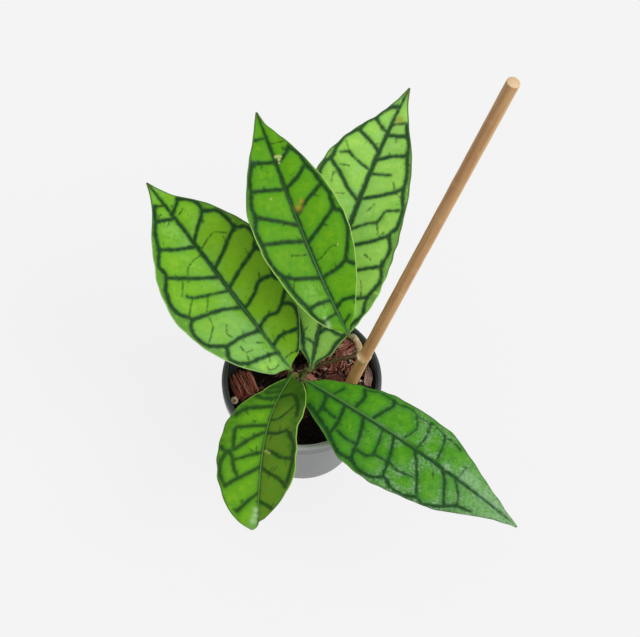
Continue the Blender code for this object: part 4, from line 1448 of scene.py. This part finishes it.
def make_stake():
    """The cane, in rings at stations above and below its node."""
    below = np.linalg.norm(STAKE_NODE - STAKE_BURIED_END)
    above = np.linalg.norm(STAKE_TOP - STAKE_NODE)
    stations = np.concatenate([
        np.linspace(-below, -8, 46),
        np.linspace(-7, 8, 46),
        np.linspace(10, above - 1, 110),
        above - CUT_EDGE,
    ])
    station = stations[:, None]
    way = np.where(station < 0, unit(STAKE_NODE - STAKE_BURIED_END), unit(STAKE_TOP - STAKE_NODE))
    path = STAKE_NODE + way * station
    upper = [(above / 2, 3.25), (above - 1, 3.25), (above - 0.25, 3.17), (above, 3.0)]
    radius = np.interp(stations, *zip((-below, STAKE_RADIUS), *NODE_PROFILE, *upper))
    rings, values = sweep(path, radius, STAKE_SIDES)
    out = unit(rings - path[:, None])
    swollen, scar = 0 * out[..., 0], 0 * out[..., 0]
    for facing, at, height, spot in NODE_BUDS:
        turned_to = np.clip(out @ unit(facing), 0, 1)
        swollen += height * np.exp(-((station - at) / 2.6) ** 2) * smooth_step(turned_to, 0.55, 1.0)
        mark = np.exp(-((station - at) / spot) ** 2) * smooth_step(turned_to, 0.90, 0.985)
        scar = np.maximum(scar, mark)
    values["node"] = np.exp(-((station + 1.6) / 1.3) ** 2) + 0 * swollen
    values["scar"] = scar
    # painted shade on the cane's left side
    values["shaded_side"] = smooth_step(out @ unit(SHADE_FACING), 0.35, 0.95)
    # painted light on the cane's right side
    values["lit_side"] = smooth_step(out @ unit(LIGHT_FACING), 0.45, 1.0)
    values["bud"] = np.clip(swollen, 0, 1)
    values["cut"] = (station > above - 0.1) + 0 * swollen
    uneven = ripples(rings, STAKE_WAVES, STAKE_SEED)
    uneven = uneven + ripples(rings * STREAK_SQUEEZE, STAKE_STREAKS, STAKE_SEED + 1)
    rings = rings + out * (uneven + swollen)[..., None]
    make_piece("bamboo_cane", [skin(rings, values)], bamboo_material(), "bamboo_stake")


BARK_DARK = (0.045, 0.027, 0.009)
BARK = (0.125, 0.080, 0.028)
BARK_TAN = (0.360, 0.270, 0.130)
BARK_PALE_TAN = (0.560, 0.440, 0.250)
LICHEN = (0.32, 0.25, 0.14)


def vine_material():
    shade = Shade("vine_surface", BARK_DARK, 0.68, 0.25)
    bark = shade.grain(0.9, 4.0, shade.times(shade.value("along"), 0.25))
    wear_and_highlight = shade.fade(bark, 0.35, 0.68)
    shade.paint(BARK, wear_and_highlight)
    shade.paint(shade.mix(wear_and_highlight, BARK_TAN, BARK_PALE_TAN), shade.value("pale"))
    shade.paint(LICHEN, shade.fade(shade.spots(1.6), 0.22, 0.10), 0.25)
    shade.bump(bark, 0.35, 0.8)
    return shade.finish()


def vine_part(points, radii, seed, pale_between=None):
    """One arm of the vine, which may turn pale between two distances from its start."""
    path, radius = smooth_path(points, 10, radii)
    rings, values = sweep(path, radius, VINE_SIDES)
    out = unit(rings - path[:, None])
    uneven = ripples(rings, VINE_WAVES, seed)
    rings = rings + out * uneven[..., None]
    values["pale"] = smooth_step(values["along"], *pale_between) if pale_between else 0 * uneven
    return skin(rings, values)


def make_vine():
    main = vine_part(VINE_PATH, VINE_RADII, VINE_SEED)
    branch = vine_part(BRANCH_PATH, BRANCH_RADII, BRANCH_SEED, BRANCH_PALE_BETWEEN)
    make_piece("vine_stem", [main, branch], vine_material(), "stem")


# The chips and bundles of fibres that the photograph shows: place and size in millimetres, turns
# in degrees, a tone from dark to pale, and for a bundle the number of its fibres
NAMED_CHIPS = [
    ((36.6, 15.5, 55.5), (9, 4.0, 4), (-6, -8, 115), 0.70),
    ((32.5, 24.0, 55.0), (9, 4.5, 4), (8, 6, 140), 0.60),
    ((27.0, 28.5, 55.5), (8, 4.5, 4), (8, -6, 160), 0.80),
    ((17.7, 4.5, 56.5), (10, 4.5, 4.5), (10, 4, 10), 0.40),
    ((11.5, 13.0, 55.5), (11, 5, 4.5), (5, -8, 150), 0.50),
    ((4.0, 5.5, 56.5), (9, 3.6, 3.2), (5, -6, 140), 1.00),
    ((16.5, 31.0, 55.0), (11, 6, 5), (6, 4, 20), 0.60),
]
NAMED_BUNDLES = [
    ((-33.2, 0.8, 55.8), (14, 13.5, 6.5), (6, -10, 116), 0.70, 150),
    ((-35.5, 6.0, 54.8), (9, 6, 4), (0, 8, 100), 0.55, 22),
    ((38.0, 5.4, 57.2), (13, 4.4, 3.6), (4, 10, 82), 1.75, 26),
    ((26.0, 24.5, 56.5), (12, 8, 4.5), (-10, 8, 35), 1.05, 34),
    ((21.5, 17.5, 56.0), (11, 6, 4), (8, -6, 75), 0.85, 24),
    ((33.5, 14.5, 56.0), (10, 6, 4), (-6, 4, 130), 0.90, 22),
    ((16.5, -1.0, 56.4), (9, 6, 4), (6, 6, 95), 0.95, 26),
]

# The other chips, small bundles, loose fibres and thicker shreds, drawn at random
HUSK_SEED = 11
GOLDEN_ANGLE = math.radians(137.508)
CHIP_COUNT = 190
CHIP_LENGTH = (4.5, 9.5)
CHIP_WIDTH = (2.0, 4.5)
CHIP_THICKNESS = (1.4, 3.2)
CHIP_RINGS = 10
CHIP_SIDES = 24
CHIP_RIDGES = 0.16
CHIP_TORN = 0.13
CHIP_BEND = 0.10
CHIP_TAPER = 0.22
CHIP_ROUGHNESS = 0.07
BUNDLE_SHARE = 0.34
BUNDLE_WIDTH = (2.5, 4.5)
BUNDLE_THICKNESS = (1.8, 3.2)
BUNDLE_FIBRES = 8
BUNDLE_FIBRE_LENGTH = (0.70, 1.10)  # shares of the bundle's own
BUNDLE_FIBRE_RADIUS = (0.24, 0.52)
BUNDLE_UNEVENNESS = 0.28
BUNDLE_TONE_SPREAD = 0.24
FIBRE_COUNT = 620
FIBRE_LENGTH = (3, 8)
FIBRE_RADIUS = (0.14, 0.26)
FIBRE_BENDS = 5
FIBRE_TURN = 32
FIBRE_LIFT = 0.25
FIBRE_END = 0.55  # how thick its end is against its start
FIBRE_TONE = (0.5, 1.3)
SHRED_COUNT = 300
SHRED_LENGTH = (3.5, 8)
SHRED_RADIUS = (0.30, 0.55)
SHRED_TONE = (0.85, 1.50)
SHREDS_FROM = -6.0
WALL_MARGIN = 2.0

# Hollows in the mix, deepened and darkened with painted shade: middle and radius
HOLLOWS = [
    (5.0, -27.0, 15.0), (-19.0, -13.0, 10.0), (-14.0, 4.0, 10.0), (-23.0, 10.0, 8.0), (-34.0, 18.0, 9.0),
    (-1.5, 20.0, 8.0),
]
HOLLOW_DEPTH = 5.0
TOO_SHADY = 0.6
TOO_SHADY_FOR_SHREDS = 0.3
TOO_SHADY_FOR_GRAINS = 0.25

# Husk from dark to pale, each colour full at its tone
HUSK_TONES = [
    (0.35, (0.075, 0.018, 0.012)),
    (0.70, (0.280, 0.064, 0.038)),
    (1.00, (0.520, 0.205, 0.145)),
    (1.30, (0.740, 0.460, 0.380)),
]
HUSK_DARKEST = (0.008, 0.004, 0.003)
HUSK_STREAK = (0.640, 0.320, 0.260)
HUSK_CRACK = (0.020, 0.008, 0.006)
# The bed's near black is partly the dark soil and partly painted shade between the chips
SOIL = (0.003, 0.002, 0.002)
SOIL_LUMP = (0.016, 0.007, 0.005)


def inner_radius(height):
    """Radius that the mix may fill at a height."""
    return wall_radius(height) - WALL - CLEAR


def shadiness(x, y):
    """1 in the hollows of the mix, where shade is painted, and 0 away from them."""
    shady = 0 * x
    for centre_x, centre_y, radius in HOLLOWS:
        shady = np.maximum(shady, np.exp(-((x - centre_x) ** 2 + (y - centre_y) ** 2) / radius ** 2))
    return shady


def bed_height(x, y):
    """Height of the mix under its loose chips."""
    outward = np.hypot(x, y) / inner_radius(MIX_EDGE_HEIGHT)
    spread = np.stack([x, y], -1)
    height = MIX_MIDDLE_HEIGHT + (MIX_EDGE_HEIGHT - MIX_MIDDLE_HEIGHT) * outward ** 2
    return height - HOLLOW_DEPTH * shadiness(x, y) + ripples(spread, BED_WAVES, BED_SEED)


def husk_material():
    shade = Shade("husk_surface", HUSK_DARKEST, 0.85, 0.25)
    tone = shade.value("tone")
    fibre = shade.grain(0.9, 4.0, shade.value("grain_z"))
    start = 0.0
    for full, colour in HUSK_TONES:
        shade.paint(colour, shade.fade(tone, start, full))
        start = full
    shade.paint(shade.mix(0.5, shade.colour, HUSK_STREAK), shade.fade(fibre, 0.53, 0.68), 0.75)
    shade.paint(HUSK_CRACK, shade.fade(fibre, 0.46, 0.34), 0.8)
    shade.bump(fibre, 0.6, 0.9)
    return shade.finish()


def soil_material():
    shade = Shade("mix_bed_surface", SOIL, 0.95, 0.2)
    lumps = shade.noise(1.6, 5.0)
    shade.paint(SOIL_LUMP, shade.fade(lumps, 0.40, 0.70))
    shade.bump(lumps, 1.2, 1.0)
    return shade.finish()


def make_bed():
    """The body of the mix, with an uneven top, filling the pot up to its loose chips."""
    bottom = FLOOR + CLEAR
    heights = np.linspace(bottom, MIX_EDGE_HEIGHT - 1.5, 14)
    rings = turned([(5, bottom)] + [(inner_radius(h), h) for h in heights], BED_SEGMENTS)
    edge = inner_radius(MIX_EDGE_HEIGHT - 1)
    top = turned([(r, 0) for r in np.linspace(edge, 1, 40)], BED_SEGMENTS)
    top[..., 2] = bed_height(top[..., 0], top[..., 1])
    top[0, :, 2] -= 0.6
    make_piece("mix_bed", [skin(np.vstack([rings, top]))], soil_material(), "potting_mix")


def husk_values(draw, along, across, rise, tone):
    """Tone of a piece of husk, and where its points lie in its own lengthwise grain."""
    shift = draw.uniform(0, 500)
    return {"tone": tone + 0 * along, "grain_x": along * 0.12 + shift, "grain_y": across, "grain_z": rise}


def husk_chip(draw, size, place, turn, tone):
    """One chip of coco husk: a fibrous block with lengthwise ridges and torn ends."""
    length, width, thickness = size
    angles = np.arange(CHIP_SIDES) * math.tau / CHIP_SIDES
    square = (np.abs(np.cos(angles)) ** 6 + np.abs(np.sin(angles)) ** 6) ** (-1 / 6)
    ridge = 1 + CHIP_RIDGES * draw.normal(size=CHIP_SIDES)
    torn = CHIP_TORN * length * draw.normal(size=(2, CHIP_SIDES))
    bend = draw.uniform(-CHIP_BEND, CHIP_BEND) * length
    rings = []
    for s in 2 * np.arange(CHIP_RINGS) / (CHIP_RINGS - 1) - 1:
        around = square * ridge * (1 - CHIP_TAPER * abs(s) ** 8)
        around = around * (1 + CHIP_ROUGHNESS * draw.normal(size=CHIP_SIDES))
        x = s * length / 2 + torn[0 if s < 0 else 1] * abs(s) ** 4
        y = np.cos(angles) * around * width / 2
        z = np.sin(angles) * around * thickness / 2 + bend * (s * s - 0.5)
        rings.append(np.stack([x, y, z], -1))
    rings = np.array(rings)
    values = husk_values(draw, rings[..., 0], rings[..., 1], rings[..., 2], tone)
    return skin(turned_box(turn, place, rings), values)


def husk_bundle(draw, size, place, turn, tone, count):
    """A chunk of husk that has come apart into fibres lying side by side."""
    length, width, thickness = size
    strands = []
    for _ in range(count):
        across = draw.uniform(-0.5, 0.5)
        rise = draw.uniform(-0.5, 0.5) * math.sqrt(1 - (1.9 * across) ** 2)
        ends = 0.5 * length * draw.uniform(*BUNDLE_FIBRE_LENGTH, 2) * (-1, 1)
        x = np.linspace(ends[0], ends[1], 4)
        y = across * width + draw.normal(0, BUNDLE_UNEVENNESS, 4)
        z = rise * thickness + draw.normal(0, BUNDLE_UNEVENNESS, 4)
        path = smooth_path(np.stack([x, y, z], -1), 3)
        middle = 1 - 0.5 * np.abs(np.linspace(-1, 1, len(path))) ** 3
        rings, values = sweep(path, draw.uniform(*BUNDLE_FIBRE_RADIUS) * middle, 6)
        own_tone = tone + draw.uniform(-BUNDLE_TONE_SPREAD, BUNDLE_TONE_SPREAD)
        values = husk_values(draw, values["along"], values["grain_x"], values["grain_y"], own_tone)
        strands.append(skin(turned_box(turn, place, rings), values))
    return strands


def fibre_strand(draw, place, heading, length, radius, tone):
    """One loose curly fibre lying on the mix."""
    way = np.radians(heading + np.cumsum(draw.normal(0, FIBRE_TURN, FIBRE_BENDS)))
    steps = np.stack([np.cos(way), np.sin(way), draw.normal(0, FIBRE_LIFT, FIBRE_BENDS)], -1)
    path = np.vstack([np.zeros(3), np.cumsum(steps * length / FIBRE_BENDS, axis=0)]) + place
    path = smooth_path(path, 2)
    rings, values = sweep(path, radius * np.linspace(1.0, FIBRE_END, len(path)), 4)
    return skin(rings, husk_values(draw, values["along"], values["grain_x"], values["grain_y"], tone))


def keeps_clear(x, y, reach):
    """Whether a chip of that reach leaves the foot of the stake and of the vine free."""
    share = (CHIP_LEVEL - STAKE_BURIED_END[2]) / (STAKE_NODE - STAKE_BURIED_END)[2]
    stake = STAKE_BURIED_END + (STAKE_NODE - STAKE_BURIED_END) * share
    from_stake = math.hypot(x - stake[0], y - stake[1])
    from_vine = math.hypot(x - VINE_PATH[1][0], y - VINE_PATH[1][1])
    return from_stake > reach * 0.6 + STAKE_RADIUS and from_vine > reach * 0.6 + VINE_RADII[1]


def in_pot(parts):
    """The same parts, with what would reach past the pot's inner wall pressed back inside it."""
    kept = []
    for points, faces, values in parts:
        reach = np.hypot(points[:, 0], points[:, 1])
        limit = inner_radius(np.minimum(points[:, 2], LIP_BOTTOM)) - WALL_MARGIN
        past = np.maximum(reach - limit, 0)
        pressed = np.minimum(reach, limit) + WALL_MARGIN * (1 - np.exp(-past / WALL_MARGIN))
        share = (pressed / np.maximum(reach, 1e-6))[:, None]
        kept.append((np.hstack([points[:, :2] * share, points[:, 2:]]), faces, values))
    return kept


def spread_out(index, count, turn, from_wall):
    """One of many evenly spread places on the mix, up to a distance from the pot's wall."""
    distance = (inner_radius(MIX_EDGE_HEIGHT) - from_wall) * math.sqrt((index + 0.5) / count)
    angle = index * GOLDEN_ANGLE + turn
    return distance * math.cos(angle), distance * math.sin(angle)


def make_chips(draw, husk):
    chips = [husk_chip(draw, size, place, turn, tone) for place, size, turn, tone in NAMED_CHIPS]
    bundles = []
    for place, size, turn, tone, count in NAMED_BUNDLES:
        bundles += husk_bundle(draw, size, place, turn, tone, count)
    for index in range(CHIP_COUNT):
        length = draw.uniform(*CHIP_LENGTH)
        x, y = spread_out(index, CHIP_COUNT, 0, 0.5 * length + 0.6)
        turn = (draw.uniform(-25, 25), draw.uniform(-22, 22), draw.uniform(0, 360))
        shady = shadiness(x, y)
        tone = draw.uniform(0.05, 0.55) + 0.15 * smooth_step(x, -5, 20)
        # painted shade: chips in the hollows are darker
        tone *= 1 - 0.85 * shady
        place = (x, y, bed_height(x, y) + draw.uniform(-0.4, 1.8) * (1 - shady))
        is_bundle = draw.uniform() < BUNDLE_SHARE
        if shady > TOO_SHADY or not keeps_clear(x, y, length / 2):
            continue
        if is_bundle:
            size = (length, draw.uniform(*BUNDLE_WIDTH), draw.uniform(*BUNDLE_THICKNESS))
            bundles += husk_bundle(draw, size, place, turn, tone, BUNDLE_FIBRES)
            continue
        size = (length, draw.uniform(*CHIP_WIDTH), draw.uniform(*CHIP_THICKNESS))
        chips.append(husk_chip(draw, size, place, turn, tone))
    make_piece("husk_chips", in_pot(chips), husk)
    make_piece("husk_bundles", in_pot(bundles), husk)


def make_fibres(draw, husk):
    strands = []
    for index in range(FIBRE_COUNT):
        x, y = spread_out(index, FIBRE_COUNT, 0.4, 5)
        shady = shadiness(x, y)
        place = (x, y, bed_height(x, y) + draw.uniform(1.2, 4.4) * (1 - 0.6 * shady))
        # painted shade: fibres in the hollows are darker
        tone = draw.uniform(*FIBRE_TONE) * (1 - shady)
        size = draw.uniform(*FIBRE_LENGTH), draw.uniform(*FIBRE_RADIUS)
        if shady <= TOO_SHADY:
            strands.append(fibre_strand(draw, place, draw.uniform(0, 360), *size, tone))
    for index in range(SHRED_COUNT):
        x, y = spread_out(index, SHRED_COUNT, 1.3, 4)
        if shadiness(x, y) > TOO_SHADY_FOR_SHREDS or x < SHREDS_FROM or not keeps_clear(x, y, 2):
            continue
        place = (x, y, bed_height(x, y) + draw.uniform(2.2, 4.6))
        size = draw.uniform(*SHRED_LENGTH), draw.uniform(*SHRED_RADIUS)
        tone = draw.uniform(*SHRED_TONE)
        strands.append(fibre_strand(draw, place, draw.uniform(0, 360), *size, tone))
    make_piece("husk_fibres", in_pot(strands), husk)


def make_husk():
    draw = np.random.default_rng(HUSK_SEED)
    husk = husk_material()
    make_chips(draw, husk)
    make_fibres(draw, husk)


# Pale grains that the photograph shows, as place and radius, and more drawn at random
NAMED_GRAINS = [((13.1, 10.2, 57.8), 1.0), ((33.0, 2.6, 57.6), 0.9), ((27.5, 16.0, 57.0), 0.8)]
GRAIN_COUNT = 40
GRAIN_RADIUS = (0.45, 1.0)
GRAIN_FLATNESS = 0.75
GRAIN_UNEVENNESS = 0.16
GRAIN_STRETCH = (0.8, 1.2)
GRAIN_SEED = 23
GRAIN = (0.42, 0.38, 0.33)
GRAIN_SPOT = (0.72, 0.70, 0.64)


def grain_material():
    shade = Shade("pale_grain_surface", GRAIN, 0.9, 0.3)
    spots = shade.noise(0.8, 4.0)
    shade.paint(GRAIN_SPOT, shade.fade(spots, 0.4, 0.7))
    shade.bump(spots, 0.5, 0.8)
    return shade.finish()


def pebble(draw, place, radius):
    """A small rounded grain with an uneven skin."""
    latitudes = np.radians(np.linspace(-80, 80, 7))
    profile = [(radius * math.cos(a), radius * GRAIN_FLATNESS * math.sin(a)) for a in latitudes]
    rings = turned(profile, 10)
    uneven = 1 + GRAIN_UNEVENNESS * draw.normal(size=rings.shape[:2])
    rings = rings * uneven[..., None] * draw.uniform(*GRAIN_STRETCH, 3)
    return skin(turned_box(draw.uniform(0, 360, 3), place, rings))


def make_grains():
    draw = np.random.default_rng(GRAIN_SEED)
    grains = [pebble(draw, place, radius) for place, radius in NAMED_GRAINS]
    for index in range(GRAIN_COUNT):
        x, y = spread_out(index, GRAIN_COUNT, 2.1, 2.5)
        if shadiness(x, y) > TOO_SHADY_FOR_GRAINS:
            continue
        place = (x, y, bed_height(x, y) + draw.uniform(0.8, 2.8))
        grains.append(pebble(draw, place, draw.uniform(*GRAIN_RADIUS)))
    make_piece("pale_grains", grains, grain_material())


# The round clay pellet: (radius, height) from below, up to its rim and down into its hollow
PELLET_PROFILE = [
    (0.4, -1.9), (1.5, -1.5), (2.1, -0.6), (2.3, 0.2), (2.1, 1.0), (1.6, 1.6),
    (1.15, 1.75), (0.85, 1.5), (0.6, 1.2), (0.2, 1.15),
]
PELLET_PLACE = (-38.0, -8.8, 55.5)
PELLET_TURN = (38, -12, 0)
PELLET_SEED = 91
PELLET_WAVES = [(0.08, 1.5)]
PELLET_HOLLOW_RADII = (1.25, 0.9)
PELLET = (0.50, 0.37, 0.24)
PELLET_SPOT = (0.66, 0.54, 0.40)
PELLET_HOLLOW = (0.20, 0.13, 0.08)


def pellet_material():
    shade = Shade("pellet_surface", PELLET, 0.8, 0.3)
    shade.paint(PELLET_SPOT, shade.fade(shade.noise(0.7, 3.0), 0.4, 0.7))
    shade.paint(PELLET_HOLLOW, shade.value("hollow"), 0.8)
    shade.bump(shade.noise(0.5, 3.0), 0.3, 0.8)
    return shade.finish()


def make_pellet():
    """The pellet with a hollow in its top, at the left edge of the mix."""
    rings = turned(PELLET_PROFILE, 28)
    rings = rings + ripples(rings, PELLET_WAVES, PELLET_SEED)[..., None]
    points, faces, _ = skin(rings)
    across = np.hypot(points[:, 0], points[:, 1])
    hollow = smooth_step(across, *PELLET_HOLLOW_RADII) * (points[:, 2] > 0)
    part = (turned_box(PELLET_TURN, PELLET_PLACE, points), faces, {"hollow": hollow})
    make_piece("clay_pellet", [part], pellet_material())


def make_stage():
    """A plain pale floor that glows a little, so that the shadows on it are faint."""
    half = FLOOR_HALF_SIZE
    mesh = bpy.data.meshes.new("floor")
    corners = [(-half, -half, 0), (half, -half, 0), (half, half, 0), (-half, half, 0)]
    mesh.from_pydata(corners, [], [(0, 1, 2, 3)])
    shade = Shade("floor_surface", FLOOR_GREY, 0.9, 0.2)
    shade.paint(FLOOR_PALER_GREY, shade.noise(400))
    shade.plug(shade.shader.inputs["Emission Color"], (1.0, 1.0, 1.0))
    shade.shader.inputs["Emission Strength"].default_value = FLOOR_GLOW
    mesh.materials.append(shade.finish())
    floor = add_object("floor", mesh)


def add_sun(name, azimuth, elevation, strength, spread, colour):
    """A soft distant light. Azimuth 0 is from the back (+Y) and 90 from the right (+X)."""
    light = bpy.data.lights.new(name, "SUN")
    light.energy = strength
    light.angle = math.radians(spread)
    light.color = colour
    lamp = add_object(name, light)
    lamp.rotation_euler = (math.radians(90 - elevation), 0, math.radians(180 - azimuth))


def make_light():
    add_sun("key", azimuth=108, elevation=44, strength=1.60, spread=38, colour=(1.0, 0.985, 0.96))
    add_sun("overhead", azimuth=185, elevation=76, strength=0.65, spread=90, colour=(0.98, 0.99, 1.0))
    world = bpy.data.worlds.new("studio")
    world.use_nodes = True
    background = world.node_tree.nodes["Background"]
    background.inputs["Color"].default_value = (*SKY_COLOUR, 1)
    background.inputs["Strength"].default_value = SKY_STRENGTH
    bpy.context.scene.world = world


def make_camera():
    camera = bpy.data.cameras.new("camera")
    camera.sensor_width = SENSOR_WIDTH
    camera.lens = FOCAL_PIXELS * SENSOR_WIDTH / PICTURE_WIDTH
    camera.clip_start, camera.clip_end = CAMERA_CLIP
    holder = add_object("camera", camera)
    holder.location = [value * MM for value in CAMERA_PLACE]
    holder.rotation_euler = (math.radians(90 + CAMERA_PITCH), 0, 0)
    bpy.context.scene.camera = holder
    bpy.context.scene.view_settings.view_transform = "Standard"


make_camera()
make_light()
make_stage()
make_pot()
make_bed()
make_husk()
make_grains()
make_pellet()
make_stake()
make_vine()
make_leaves()
